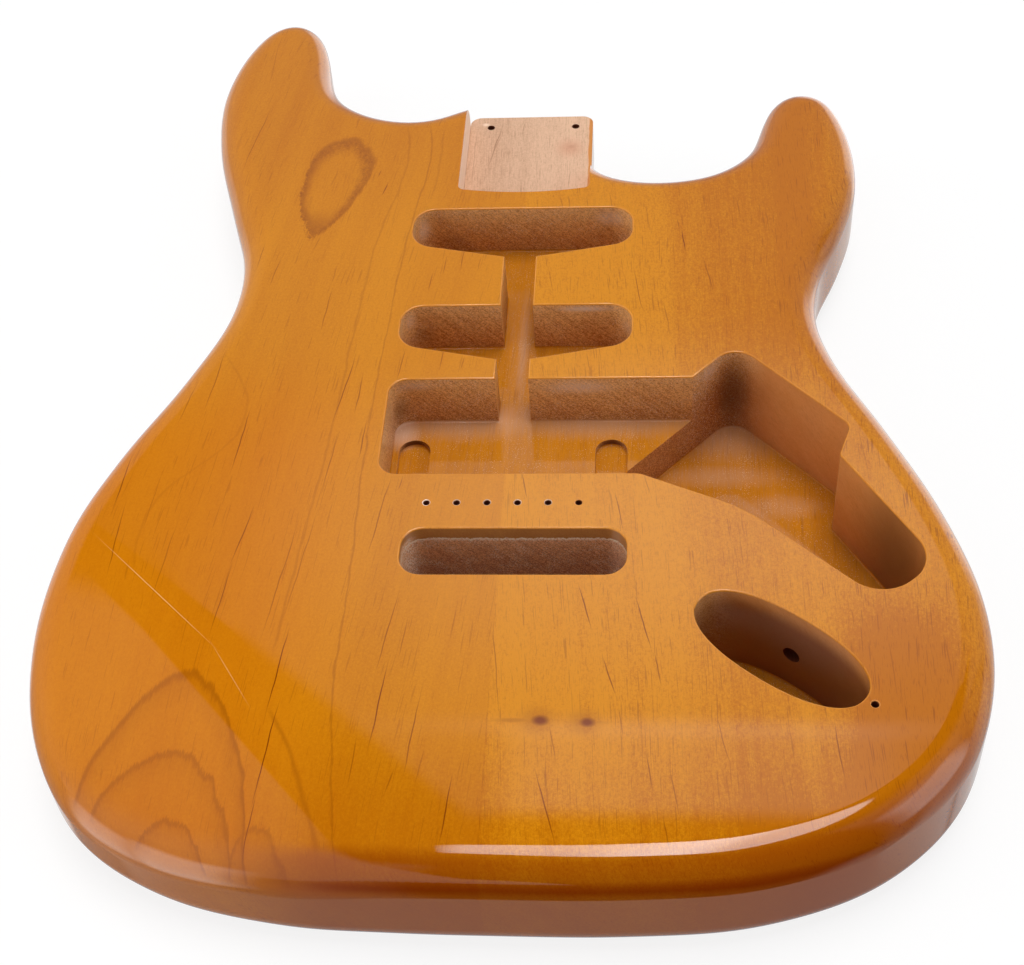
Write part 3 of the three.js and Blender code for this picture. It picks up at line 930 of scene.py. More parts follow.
class Graph:
    """A short way to write shader nodes."""

    def __init__(self, tree: bpy.types.NodeTree) -> None:
        """Keeps the node tree that is written."""
        self.tree = tree

    def add(self, kind: str, **settings: object) -> bpy.types.Node:
        """Adds a node.

        Args:
            kind: the node's type, such as ShaderNodeMath.
            settings: values of its properties.

        Returns:
            The node.
        """
        node = self.tree.nodes.new(kind)
        for name, value in settings.items():
            setattr(node, name, value)
        return node

    def put(self, socket: Socket, value: object) -> None:
        """Links a socket's value to another socket, or sets it to a plain value."""
        if isinstance(value, Socket):
            self.tree.links.new(value, socket)
        else:
            socket.default_value = value

    def math(self, operation: str, *values: object, clamp: bool = False) -> Socket:
        """A sum, product or other function of numbers.

        Args:
            operation: the Math node's operation.
            values: the operands, numbers or sockets.
            clamp: whether the result is kept between 0 and 1.

        Returns:
            The result's socket.
        """
        node = self.add("ShaderNodeMath", operation=operation, use_clamp=clamp)
        for socket, value in zip(node.inputs, values):
            self.put(socket, value)
        return node.outputs[0]

    def total(self, operation: str, values: list[object]) -> Socket:
        """One operation over a whole list, such as a sum or the largest."""
        result = values[0]
        for value in values[1:]:
            result = self.math(operation, result, value)
        return result

    def times(self, *values: object) -> Socket:
        """The product of all the values."""
        return self.total("MULTIPLY", list(values))

    def most(self, *values: object) -> Socket:
        """The largest of the values."""
        return self.total("MAXIMUM", list(values))

    def less(self, value: object, other: object) -> Socket:
        """A value less another."""
        return self.math("SUBTRACT", value, other)

    def over(self, value: object, other: object) -> Socket:
        """A value divided by another."""
        return self.math("DIVIDE", value, other)

    def scaled(self, value: object, scale: object, base: object, clamp: bool = False) -> Socket:
        """A value times a scale, plus a base."""
        return self.math("MULTIPLY_ADD", value, scale, base, clamp=clamp)

    def set_up(self, node: bpy.types.Node, values: dict[str, object]) -> None:
        """Sets or links several inputs of a node by name."""
        for name, value in values.items():
            self.put(node.inputs[name], value)

    def mapped(self, vector: Socket, centre: object, size: object, turn: float = 0.0) -> Socket:
        """A place as seen from a turned and sized mark, whose half sizes become 1.

        Args:
            vector: the place.
            centre: the mark's centre.
            size: the mark's half sizes.
            turn: how far the mark is turned in plan, in radians.

        Returns:
            The place in the mark's own measure.
        """
        mapping = self.add("ShaderNodeMapping", vector_type="TEXTURE")
        self.set_up(mapping, {"Vector": vector, "Location": centre, "Rotation": (0, 0, turn), "Scale": size})
        return mapping.outputs["Vector"]

    def swing(self, noise: object, reach: float, around: object = 0.0, clamp: bool = False) -> Socket:
        """Adds noise, taken from its middle, to a value.

        Args:
            noise: noise from 0 to 1.
            reach: how much a full swing of the noise adds.
            around: the value that it is added to.
            clamp: whether the result is kept between 0 and 1.

        Returns:
            The result's socket.
        """
        return self.scaled(self.less(noise, 0.5), reach, around, clamp)

    def rise(self, value: object, low: object, high: object) -> Socket:
        """A smooth step from 0 at low to 1 at high."""
        node = self.add("ShaderNodeMapRange", interpolation_type="SMOOTHSTEP")
        self.set_up(node, {"Value": value, "From Min": low, "From Max": high})
        return node.outputs["Result"]

    def fall(self, value: object, low: object, high: object) -> Socket:
        """A smooth step from 1 at low to 0 at high."""
        return self.less(1.0, self.rise(value, low, high))

    def line(self, value: object, centre: object, half_width: object) -> Socket:
        """1 where a value is at a centre, falling to 0 at half a width either side."""
        return self.fall(self.math("ABSOLUTE", self.less(value, centre)), 0.0, half_width)

    def split(self, vector: Socket) -> tuple[Socket, ...]:
        """The X, Y and Z of a vector."""
        node = self.add("ShaderNodeSeparateXYZ")
        self.put(node.inputs[0], vector)
        return tuple(node.outputs)

    def join(self, x: object, y: object, z: object = 0.0) -> Socket:
        """A vector of X, Y and Z."""
        node = self.add("ShaderNodeCombineXYZ")
        for socket, value in zip(node.inputs, (x, y, z)):
            self.put(socket, value)
        return node.outputs[0]

    def shrink(self, x: object, y: object, z: object, sizes: tuple[float, float, float]) -> Socket:
        """A place measured in features of the given sizes."""
        return self.join(*(self.over(value, size) for value, size in zip((x, y, z), sizes)))

    def oval(self, u: object, v: object, centre: tuple[float, float], radii: tuple[float, float]) -> Socket:
        """How far out a flat place lies in an oval, whose edge is at 1."""
        return self.length(self.join(self.over(self.less(u, centre[0]), radii[0]),
                                     self.over(self.less(v, centre[1]), radii[1])))

    def length(self, vector: Socket) -> Socket:
        """The length of a vector."""
        node = self.add("ShaderNodeVectorMath", operation="LENGTH")
        self.put(node.inputs[0], vector)
        return node.outputs["Value"]

    def noise(self, vector: Socket, detail: float = 2.0, roughness: float = 0.5,
              seed: object = 0.0) -> Socket:
        """Smooth noise from 0 to 1, with one feature to a unit.

        Args:
            vector: where it is read.
            detail: the octaves of finer noise.
            roughness: how strong the finer noise is.
            seed: a value that picks another pattern.

        Returns:
            The noise's socket.
        """
        moved = self.add("ShaderNodeVectorMath", operation="MULTIPLY_ADD")
        start = seed if isinstance(seed, Socket) else (seed, seed, seed)
        for socket, value in zip(moved.inputs, (start, NOISE_STRIDE, vector)):
            self.put(socket, value)
        node = self.add("ShaderNodeTexNoise", noise_dimensions="3D")
        self.set_up(node, {"Vector": moved.outputs[0], "Scale": 1.0, "Detail": detail, "Roughness": roughness})
        return node.outputs["Fac"]

    def blend(self, factor: object, first: object, second: object) -> Socket:
        """A mix of two colours.

        Args:
            factor: how much of the second.
            first: the first colour.
            second: the second colour.

        Returns:
            The mixed colour's socket.
        """
        node = self.add("ShaderNodeMix", data_type="RGBA", clamp_factor=True)
        self.put(node.inputs[0], factor)
        self.put(node.inputs[6], first)
        self.put(node.inputs[7], second)
        return node.outputs[2]

    def mix_shaders(self, factor: object, first: bpy.types.Node, second: bpy.types.Node) -> bpy.types.Node:
        """Mixes two shaders.

        Args:
            factor: how much of the second.
            first: the first shader.
            second: the second shader.

        Returns:
            The Mix Shader node.
        """
        node = self.add("ShaderNodeMixShader")
        for socket, value in zip(node.inputs, (factor, first.outputs[0], second.outputs[0])):
            self.put(socket, value)
        return node

    def curve(self, value: object, points: list[tuple[float, float]]) -> Socket:
        """A smooth curve through points given from 0 to 1."""
        node = self.add("ShaderNodeFloatCurve")
        self.put(node.inputs["Value"], value)
        track = node.mapping.curves[0].points
        track[0].location, track[1].location = points[0], points[-1]
        for point in points[1:-1]:
            track.new(*point)
        node.mapping.update()
        return node.outputs["Value"]


def new_group(name: str, inputs: dict[str, str],
              outputs: list[str]) -> tuple[Graph, dict[str, Socket], bpy.types.Node]:
    """Starts a shader node group.

    Args:
        name: the group's name.
        inputs: the name and socket type of each input.
        outputs: the names of its outputs, all numbers.

    Returns:
        The group's graph, its inputs by name and its output node.
    """
    tree = bpy.data.node_groups.new(name, "ShaderNodeTree")
    for label, kind in inputs.items():
        tree.interface.new_socket(label, in_out="INPUT", socket_type=kind)
    for label in outputs:
        tree.interface.new_socket(label, in_out="OUTPUT", socket_type="NodeSocketFloat")
    graph = Graph(tree)
    given = graph.add("NodeGroupInput")
    return graph, {label: given.outputs[label] for label in inputs}, graph.add("NodeGroupOutput")


def wood_grain_group() -> None:
    """Builds the grain that every wood surface shares: fibres, two widths of band, pores, hairlines and mottle."""
    graph, given, result = new_group(
        "wood_grain",
        {"Place": "NodeSocketVector", **dict.fromkeys(("Lean", "Fan", "Seed"), "NodeSocketFloat")},
        ["Fibre", "Band", "Broad", "Pore", "Hair", "Mottle"],
    )
    x, y, z = graph.split(given["Place"])
    seed = given["Seed"]
    lean = graph.scaled(graph.math("ABSOLUTE", x), given["Fan"], given["Lean"])
    across = graph.scaled(y, lean, x)
    across = graph.scaled(z, 0.6, across)
    across = graph.swing(graph.noise(graph.shrink(x, y, z, (70, 160, 90)), 1.0, 0.5, seed), 10.0, across)
    fibre = graph.noise(graph.shrink(across, y, z, (0.5, 9.0, 0.9)), 3.0, 0.6, seed)
    band = graph.noise(graph.shrink(across, y, z, (5.5, 180.0, 9.0)), 2.5, 0.55, graph.math("ADD", seed, 3.7))
    tiny = graph.noise(graph.shrink(across, y, z, (0.36, 3.6, 0.5)), 1.5, 0.5, graph.math("ADD", seed, 1.9))
    broad = graph.noise(graph.shrink(across, y, z, (24.0, 500.0, 22.0)), 1.0, 0.5, graph.math("ADD", seed, 9.1))
    hair = graph.noise(graph.shrink(across, y, z, (0.4, 13.0, 1.6)), 0.0, 0.5, graph.math("ADD", seed, 5.3))
    crowd = graph.noise(graph.shrink(across, y, z, (9.0, 70.0, 20.0)), 1.0, 0.5, graph.math("ADD", seed, 7.7))
    limit = graph.scaled(crowd, -0.3, 0.85)
    mottle = graph.noise(graph.shrink(x, y, z, (0.9, 1.1, 0.9)), 3.0, 0.85, graph.math("ADD", seed, 6.2))
    graph.set_up(result, {"Fibre": fibre, "Band": band, "Broad": broad, "Pore": graph.rise(tiny, 0.55, 0.72),
                          "Hair": graph.rise(hair, limit, graph.math("ADD", limit, 0.08)), "Mottle": mottle})


def rough_cut_group() -> None:
    """Builds the torn end grain of a routed wall: crumbs, slanting streaks and pale dust."""
    graph, given, result = new_group(
        "rough_cut", {"Place": "NodeSocketVector", "Dust": "NodeSocketFloat"}, ["Crumb", "Streak", "Speck"])
    x, y, z = graph.split(given["Place"])
    down = graph.math("ADD", x, z)
    level = graph.less(x, z)
    crumb = graph.noise(graph.shrink(x, y, z, (0.7, 0.7, 0.6)), 4.0, 0.88)
    streak = graph.noise(graph.shrink(down, level, y, (0.9, 26.0, 1.4)), 2.0, 0.6, 2.0)
    speck = graph.noise(graph.shrink(x, y, z, (0.3, 0.3, 0.3)), 1.0, 0.5, 4.0)
    crowd = graph.noise(graph.shrink(x, y, z, (8.0, 8.0, 6.0)), 1.0, 0.5, 7.0)
    limit = graph.scaled(graph.times(crowd, given["Dust"]), -0.26, 0.78)
    graph.set_up(result, {"Crumb": crumb, "Streak": graph.rise(streak, 0.42, 0.62),
                          "Speck": graph.rise(speck, limit, graph.math("ADD", limit, 0.06))})


def place_group(graph: Graph, name: str, **values: object) -> dict[str, Socket]:
    """Puts a shared group in a material.

    Args:
        graph: the material's nodes.
        name: the group's name.
        values: its inputs.

    Returns:
        The group's outputs by name.
    """
    node = graph.add("ShaderNodeGroup", node_tree=bpy.data.node_groups[name])
    graph.set_up(node, values)
    return {socket.name: socket for socket in node.outputs}


def shaping_place(graph: Graph) -> Socket:
    """The place of a surface point in the shaping frame, in millimetres."""
    coordinates = graph.add("ShaderNodeTexCoord")
    mapping = graph.add("ShaderNodeMapping", vector_type="POINT")
    graph.set_up(mapping, {"Vector": coordinates.outputs["Object"], "Scale": (1 / MM, 1 / MM, 1 / MM),
                           "Location": (-SEAM_X / MM, -BRIDGE_LINE_Y / MM, -FACE_Z / MM)})
    return mapping.outputs["Vector"]


def new_material(name: str) -> tuple[Graph, bpy.types.Node, Socket]:
    """Starts a material.

    Args:
        name: the material's name.

    Returns:
        Its graph, its shader and the place of a surface point.
    """
    material = bpy.data.materials.new(name)
    material.use_nodes = True
    graph = Graph(material.node_tree)
    return graph, material.node_tree.nodes["Principled BSDF"], shaping_place(graph)


SPINDLE_STRETCH = 1.15


@dataclass(frozen=True)
class ResinAndGlintLine:
    """A short line from its upper end to its lower end, drawn for the dark resin lines along the grain and for the
    painted highlights along the forearm crease.
    """

    upper_x: float
    upper_y: float
    lower_x: float
    lower_y: float
    strength: float = 0.6
    width: float = 0.29

    def draw(self, graph: Graph, place: Socket) -> Socket:
        """A mask of the line.

        Args:
            graph: the material's nodes.
            place: the place, flattened and slightly warped.

        Returns:
            The mask.
        """
        upper, lower = Vector((self.upper_x, self.upper_y)), Vector((self.lower_x, self.lower_y))
        along = upper - lower
        half_sizes = (self.width, along.length / 2 * SPINDLE_STRETCH, 1)
        own = graph.mapped(place, ((upper + lower) / 2).to_3d(), half_sizes, -math.atan2(along.x, along.y))
        return graph.times(graph.fall(graph.length(own), 0.35, 1.0), self.strength * SPINDLE_STRETCH)


@dataclass(frozen=True)
class GrowthLine:
    """A long soft line where the year's growth ends, through points from top to bottom."""

    points: tuple[tuple[float, float], ...]
    width: float = 1.2
    strength: float = 0.35
    reach: float = 200.0

    def draw(self, graph: Graph, x: object, y: object) -> Socket:
        """A mask of the line.

        Args:
            graph: the material's nodes.
            x: the warped place across the body.
            y: the place along the body.

        Returns:
            The mask.
        """
        low, high = self.points[-1][1], self.points[0][1]
        part = graph.math("DIVIDE", graph.less(y, low), high - low, clamp=True)
        track = [((along - low) / (high - low), across / self.reach + 0.5)
                 for across, along in reversed(self.points)]
        centre = graph.scaled(graph.curve(part, track), self.reach, -self.reach / 2)
        core = graph.line(x, centre, self.width)
        ends = graph.times(graph.rise(y, low - 4, low + 6), graph.fall(y, high - 6, high + 4))
        return graph.times(graph.times(core, ends), self.strength)


@dataclass(frozen=True)
class GrowthArch:
    """A pointed arch where the saw crossed a year's growth."""

    x: float
    foot_y: float
    left: float
    right: float
    height: float
    width: float = 1.6
    strength: float = 0.4
    power: float = 1.6

    def draw(self, graph: Graph, x: object, y: object) -> Socket:
        """A mask of the arch, sharp outside and feathered inside.

        Args:
            graph: the material's nodes.
            x: the warped place across the body.
            y: the warped place along the body.

        Returns:
            The mask.
        """
        off = graph.less(x, self.x)
        left_part = graph.over(graph.most(graph.times(off, -1.0), 0.0), self.left)
        right_part = graph.over(graph.most(off, 0.0), self.right)
        across = graph.math("POWER", graph.math("ADD", left_part, right_part), self.power)
        up = graph.over(graph.most(graph.less(y, self.foot_y), 0.0), self.height)
        ring = graph.math("POWER", graph.math("ADD", across, graph.math("POWER", up, self.power)), 1 / self.power)
        size = (self.left + self.right) / 2
        edge = graph.times(graph.less(ring, 1.0), size)
        inside = graph.times(graph.rise(edge, -self.width * 4.0, 0.0), 0.45)
        inside = graph.scaled(graph.rise(edge, -self.width * 0.9, -self.width * 0.1), 0.75, inside)
        band = graph.times(inside, graph.fall(edge, 0.0, self.width * 0.5))
        band = graph.times(band, graph.rise(y, self.foot_y - 4, self.foot_y + 8))
        return graph.times(band, self.strength)


@dataclass(frozen=True)
class KnotRing:
    """An egg-shaped ring where the grain runs round a hidden knot."""

    x: float = -83.0
    y: float = 183.0
    half_width: float = 13.5
    half_length: float = 34.0
    lean: float = math.radians(-8)
    taper: float = 0.36
    strength: float = 0.5

    def draw(self, graph: Graph, place: Socket) -> Socket:
        """A mask of the ring, with feathered edges and a filled lower end.

        Args:
            graph: the material's nodes.
            place: the place, flattened, warped and feathered.

        Returns:
            The mask.
        """
        own = graph.mapped(place, (self.x, self.y, 0), (self.half_width, self.half_length, 1), self.lean)
        across, along, _ = graph.split(own)
        across = graph.over(across, graph.scaled(along, self.taper, 1.0))
        ring = graph.length(graph.join(across, along))
        inside = graph.most(graph.rise(ring, 0.6, 0.93), graph.fall(along, -0.95, -0.35))
        band = graph.times(inside, graph.fall(ring, 0.95, 1.06))
        return graph.times(band, self.strength)


@dataclass(frozen=True)
class PinKnot:
    """A small dark knot with a smear beside it."""

    x: float
    y: float
    radius: float = 2.4
    smear: float = 0.0

    def draw(self, graph: Graph, place: Socket) -> Socket:
        """A mask of the knot.

        Args:
            graph: the material's nodes.
            place: the place, flattened and warped.

        Returns:
            The mask.
        """
        masks = []
        core, halo, smear = (0.0, 1.0, 0.72, 0.95), (0.2, 1.9, 1.7, 0.3), (self.smear, 2.2, 0.3, 0.35)
        for shift, across, along, strength in (core, halo, smear):
            own = graph.mapped(place, (self.x - shift * self.radius, self.y, 0),
                               (self.radius * across, self.radius * along, 1))
            masks.append(graph.times(graph.fall(graph.length(own), 0.2, 1.1), strength))
        return graph.most(*masks)


BASS_LINES = (
    (-118, 243, -125, 193, 0.55), (-122, 296, -122, 258, 0.3), (-110, 300, -113, 282, 0.2),
    (-59, 185, -61, 176, 0.8), (-63, 194, -64, 189, 0.6), (-107, 146, -109, 130, 0.5),
    (-99, 136, -101, 118, 0.5), (-75, 131, -76, 119, 0.35), (-75, 118, -77, 90, 0.5),
    (-84, 150, -86, 140, 0.35), (-35, 126, -36, 114, 0.5), (-30, 136, -31, 124, 0.45),
    (-23, 143, -24, 126, 0.5), (-16, 135, -17, 126, 0.3), (-27, 82, -28, 68, 0.5), (-19, 76, -20, 68, 0.4),
    (-42, 82, -44, 62, 0.5), (-39, 64, -40, 56, 0.4), (-113, 82, -116, 46, 0.55), (-121, 64, -125, 40, 0.4),
    (-98, 49, -101, 14, 0.75), (-61, 79, -66, 38, 0.75), (-57, 67, -58, 44, 0.6), (-53, 42, -54, 21, 0.6),
    (-63, 36, -66, 4, 0.5), (-41, 14, -46, -26, 0.6), (-37, 13, -38, 6, 0.5), (-139, 27, -141, -4, 0.7),
    (-137, 1, -137, -34, 0.6), (-126, 14, -128, -14, 0.3), (-89, 0, -94, -30, 0.7), (-93, -28, -96, -60, 0.65),
    (-72, -6, -78, -62, 0.5), (-66, -2, -72, -56, 0.4), (-116, -8, -119, -46, 0.4), (-69, -56, -72, -92, 0.95),
    (-68, -86, -72, -126, 0.95), (-71, -120, -73, -146, 0.7), (-33, -40, -38, -76, 0.6),
    (-29, -52, -31, -70, 0.45), (-34, -70, -37, -106, 0.85), (-22, -83, -25, -116, 0.65),
    (-41, -100, -42, -120, 0.5), (-28, -112, -30, -122, 0.45), (-9, -113, -12, -140, 0.8),
    (-19, -104, -21, -118, 0.35), (-13, -46, -14, -62, 0.3), (-91, -78, -91, -88, 0.4),
)
TREBLE_LINES = (
    (28, -37, 33, -57, 0.75), (37, -68, 41, -84, 0.7), (47, -42, 53, -66, 0.75), (54, -66, 56, -80, 0.6),
    (16, -111, 24, -140, 0.7), (20, -94, 23, -110, 0.45), (40, 6, 43, -14, 0.6), (6, 16, 9, 1, 0.55),
    (42, -88, 44, -100, 0.45), (51, -105, 53, -120, 0.6), (58, -111, 61, -128, 0.5), (56, -128, 58, -141, 0.5),
    (73, -90, 77, -110, 0.5), (110, -92, 112, -116, 0.65), (107, -84, 108, -93, 0.4), (-1, -48, 4, -92, 0.45),
    (50, 14, 53, 3, 0.4), (66, 152, 67, 136, 0.85), (64, 158, 65, 151, 0.5), (46, 127, 50, 100, 0.55),
    (74, 134, 78, 110, 0.55), (51, 168, 53, 150, 0.35), (58, 106, 60, 92, 0.4), (40, 128, 41, 118, 0.3),
    (89, 172, 90, 158, 0.4), (112, 170, 113, 150, 0.25), (12, 128, 14, 112, 0.3), (28, 78, 30, 66, 0.35),
    (128, 36, 130, 12, 0.3), (133, -8, 136, -34, 0.35), (83, -16, 84, -30, 0.3), (130, -60, 131, -84, 0.35),
    (120, -96, 121, -112, 0.35), (96, -96, 97, -110, 0.3), (108, 222, 107, 204, 0.25),
    (148, -56, 149, -80, 0.35),
)
POCKET_LINES = (
    (-13.8, 248, -19.5, 212, 0.6), (-14, 240, -19, 218, 0.4), (-25.5, 246, -26, 200, 0.35),
    (-4, 248, -5, 236, 0.4), (8, 240, 8, 226, 0.25), (17.8, 213, 17, 197, 0.4), (3, 222, 3, 206, 0.25),
    (12, 204, 12, 192, 0.2),
)
BASS_GROWTH = (
    GrowthLine(((-54, 224), (-52, 204), (-54, 182), (-59, 155), (-62, 120), (-64, 80), (-66, 30), (-70, -20),
                (-73, -66)), 0.8, 0.24),
    GrowthLine(((-44, 224), (-42, 203), (-45, 172), (-48, 140), (-50, 100), (-52, 40), (-51, -40), (-51, -84),
                (-48, -112), (-43, -147)), 0.6, 0.34),
    GrowthLine(((-38, 222), (-38, 196), (-40, 172)), 0.8, 0.2),
    GrowthLine(((-71, -90), (-63, -104), (-56, -122), (-49, -142)), 1.5, 0.3),
    GrowthLine(((-113, 78), (-120, 40), (-126, 0), (-128, -30)), 1.0, 0.14),
)
BASS_ARCHES = (
    GrowthArch(-101, -150, 38, 30, 76, 1.8, 0.36),
    GrowthArch(-101, -152, 32, 24, 47.5, 1.7, 0.33, 1.9),
    GrowthArch(-99, -150, 18, 15, 22, 1.7, 0.32),
    GrowthArch(-71, -152, 8, 12, 20, 1.3, 0.28),
)
TREBLE_KNOTS = (PinKnot(17.2, -93.6, 4.2, 1.9), PinKnot(32.2, -94.2, 3.9))
# Painted highlights: two pale glint lines along the forearm crease.
CREASE_GLINTS = (ResinAndGlintLine(-151, -9, -91, -67, 0.42, 0.3), ResinAndGlintLine(-96, -61, -75, -93, 0.28, 0.3))


class Figure(Enum):
    """The growth marks that a piece's playing face carries."""

    NONE = "none"
    BASS = "bass board"
    TREBLE = "treble board"


@dataclass(frozen=True)
class Grain:
    """How the grain runs, and how strongly it shows."""

    lean: float = 0.0
    fan: float = 0.0
    seed: float = 0.0
    fibre: float = 0.3
    band: float = 0.4
    broad: float = 0.3
    pore: float = 0.15
    hair: float = 0.3
    mottle: float = 0.1

    def tone(self, graph: Graph, place: Socket, middle: object) -> tuple[Socket, Socket, Socket]:
        """Puts the shared grain in a material.

        Args:
            graph: the material's nodes.
            place: the place in the shaping frame.
            middle: the tone that the grain swings around, from 0, pale, to 1, deep.

        Returns:
            The tone, how dark the pores and growth lines are, and the bare fibres.
        """
        grain = place_group(graph, "wood_grain", Place=place, Lean=self.lean, Fan=self.fan, Seed=self.seed)
        tone = graph.swing(grain["Fibre"], self.fibre * 2, middle)
        tone = graph.swing(grain["Broad"], self.broad * 2, tone)
        tone = graph.swing(grain["Mottle"], self.mottle * 2, tone)
        tone = graph.swing(grain["Band"], self.band * 2, tone, clamp=True)
        dark = graph.times(grain["Pore"], self.pore)
        dark = graph.most(graph.times(grain["Hair"], self.hair), dark)
        return tone, dark, grain["Fibre"]


@dataclass(frozen=True)
class Lacquer:
    """Amber stain under clear gloss lacquer."""

    name: str
    grain: Grain
    pale: Colour = (0.65, 0.24, 0.005, 1)
    deep: Colour = (0.475, 0.138, 0.002, 1)
    line: Colour = (0.19, 0.03, 0.002, 1)
    warm: Colour = (0.6, 0.155, 0.002, 1)
    rim_stain: Colour = (0.21, 0.018, 0.0005, 1)
    side_stain: Colour = (0.34, 0.068, 0.01, 1)
    glint: Colour = (0.85, 0.5, 0.2, 1)
    figure: Figure = Figure.NONE
    base_depth: float = 0.38
    end_stain: float = 0.86

    def marks(self, graph: Graph, x: object, y: object, z: object, fibre: Socket) -> Socket:
        """All the growth marks of the playing face, as one mask.

        Args:
            graph: the material's nodes.
            x: the place across the body.
            y: the place along the body.
            z: the height under the playing face.
            fibre: the grain that feathers the knot ring.

        Returns:
            The mask.
        """
        warp = graph.noise(graph.shrink(x, y, z, (6.0, 16.0, 20.0)), 2.0, 0.5, 12.0)
        fine = graph.swing(warp, 1.4, x)
        loose_x = graph.swing(warp, 5.0, x)
        loose_y = graph.swing(warp, 6.0, y)
        flat = graph.join(fine, y)
        if self.figure is Figure.BASS:
            masks = [ResinAndGlintLine(*values).draw(graph, flat) for values in BASS_LINES]
            hairy_x = graph.swing(fibre, 1.2, graph.swing(warp, 2.0, x))
            masks += [growth.draw(graph, hairy_x, y) for growth in BASS_GROWTH]
            hairy_y = graph.swing(fibre, 5.0, loose_y)
            masks += [arch.draw(graph, loose_x, hairy_y) for arch in BASS_ARCHES]
            crumbs = graph.noise(graph.shrink(x, y, z, (1.2, 2.0, 2.0)), 3.0, 0.8, 15.0)
            fuzzy_x, fuzzy_y = graph.swing(crumbs, 5.0, loose_x), graph.swing(crumbs, 9.0, hairy_y)
            ring = KnotRing().draw(graph, graph.join(fuzzy_x, fuzzy_y))
            masks.append(graph.times(ring, graph.swing(crumbs, 2.4, 1.0)))
        else:
            masks = [ResinAndGlintLine(*values).draw(graph, flat) for values in TREBLE_LINES]
            masks += [knot.draw(graph, flat) for knot in TREBLE_KNOTS]
        return graph.times(graph.most(*masks), graph.rise(z, -16.0, -11.0))

    def depth(self, graph: Graph, x: object, y: object) -> Socket:
        """How deep the stain lies: palest in the middle, deeper on the horns, the foot and the treble side.

        Args:
            graph: the material's nodes.
            x: the place across the body.
            y: the place along the body.

        Returns:
            The depth, from 0, pale, to 1, deep.
        """
        jack_side = graph.times(graph.rise(x, 62.0, 84.0), graph.fall(x, 96.0, 122.0))
        upper_right = graph.times(graph.rise(x, 40.0, 115.0), graph.rise(y, 20.0, 100.0))
        lower_right = graph.times(graph.rise(x, 95.0, 140.0), graph.fall(y, -75.0, -30.0))
        right_edge = graph.times(graph.rise(x, 108.0, 126.0), graph.fall(x, 138.0, 160.0))
        middle_glow = graph.times(graph.rise(x, 0.0, 1.0), graph.fall(x, 30.0, 80.0))
        return graph.total("ADD", [
            self.base_depth,
            graph.times(jack_side, graph.rise(y, -110.0, -70.0), graph.fall(y, -10.0, 20.0), 0.12),
            graph.times(upper_right, graph.fall(x, 112.0, 135.0), 0.62),
            graph.times(lower_right, 0.35),
            graph.times(right_edge, graph.fall(y, -70.0, -30.0), 0.7),
            graph.times(middle_glow, -0.3),
            graph.times(graph.fall(y, -140.0, -85.0), graph.scaled(graph.rise(x, 60.0, 125.0), 0.5, 0.5)),
            graph.times(graph.rise(y, 130.0, 230.0), 0.25),
        ])

    def stained(self, graph: Graph, colour: Socket, x: object, y: object, z: object) -> Socket:
        """Deepens the stain where end grain drinks it, round the foot and the horns.

        Args:
            graph: the material's nodes.
            colour: the colour of the face.
            x: the place across the body.
            y: the place along the body.
            z: the height under the playing face.

        Returns:
            The stained colour.
        """
        end = graph.add("ShaderNodeAttribute", attribute_name="end_grain").outputs["Fac"]
        stain = graph.times(graph.rise(end, 0.62, 0.95), self.end_stain)
        stain = graph.most(stain, graph.times(graph.rise(end, 0.08, 0.55), 0.62 * self.end_stain))
        stain = graph.times(stain, graph.scaled(graph.rise(end, 0.94, 1.0), -0.22, 1.0))
        stain = graph.times(stain, graph.most(graph.rise(x, -85.0, -45.0), graph.rise(y, -60.0, 0.0)))
        return graph.blend(stain, colour, graph.blend(graph.fall(z, -13.0, -9.0), self.rim_stain, self.side_stain))

    def build(self) -> None:
        """Makes the material."""
        graph, shader, place = new_material(self.name)
        x, y, z = graph.split(place)
        tone, dark, fibre = self.grain.tone(graph, place, self.depth(graph, x, y))
        colour = graph.blend(tone, self.pale, self.deep)
        warm = graph.times(graph.fall(x, -90.0, -30.0), graph.fall(y, 20.0, 90.0))
        colour = graph.blend(graph.times(warm, 0.4), colour, self.warm)
        if self.figure is Figure.TREBLE:
            dark = graph.times(dark, graph.scaled(graph.rise(x, 85.0, 140.0), 0.5, 1.0))
        if self.figure is not Figure.NONE:
            dark = graph.most(dark, self.marks(graph, x, y, z, fibre))
        colour = self.stained(graph, graph.blend(dark, colour, self.line), x, y, z)
        if self.figure is Figure.BASS:
            # Painted highlight: the pale glint along the forearm crease.
            glint = graph.most(*(glint_line.draw(graph, place) for glint_line in CREASE_GLINTS))
            colour = graph.blend(glint, colour, self.glint)
        graph.set_up(shader, {"Base Color": colour, "Roughness": 0.5, "Specular IOR Level": 0.0, "Coat Weight": 1.0,
                              "Coat Roughness": 0.03, "Coat IOR": 1.5})


@dataclass(frozen=True)
class Patch:
    """A soft oval patch on a surface, by its centre and radii in the shaping frame."""

    centre: tuple[float, float, float]
    radii: tuple[float, float, float]
    strength: float = 0.5

    def draw(self, graph: Graph, place: Socket) -> Socket:
        """A mask of the patch."""
        own = graph.mapped(place, self.centre, self.radii)
        return graph.times(graph.fall(graph.length(own), 0.1, 1.0), self.strength)
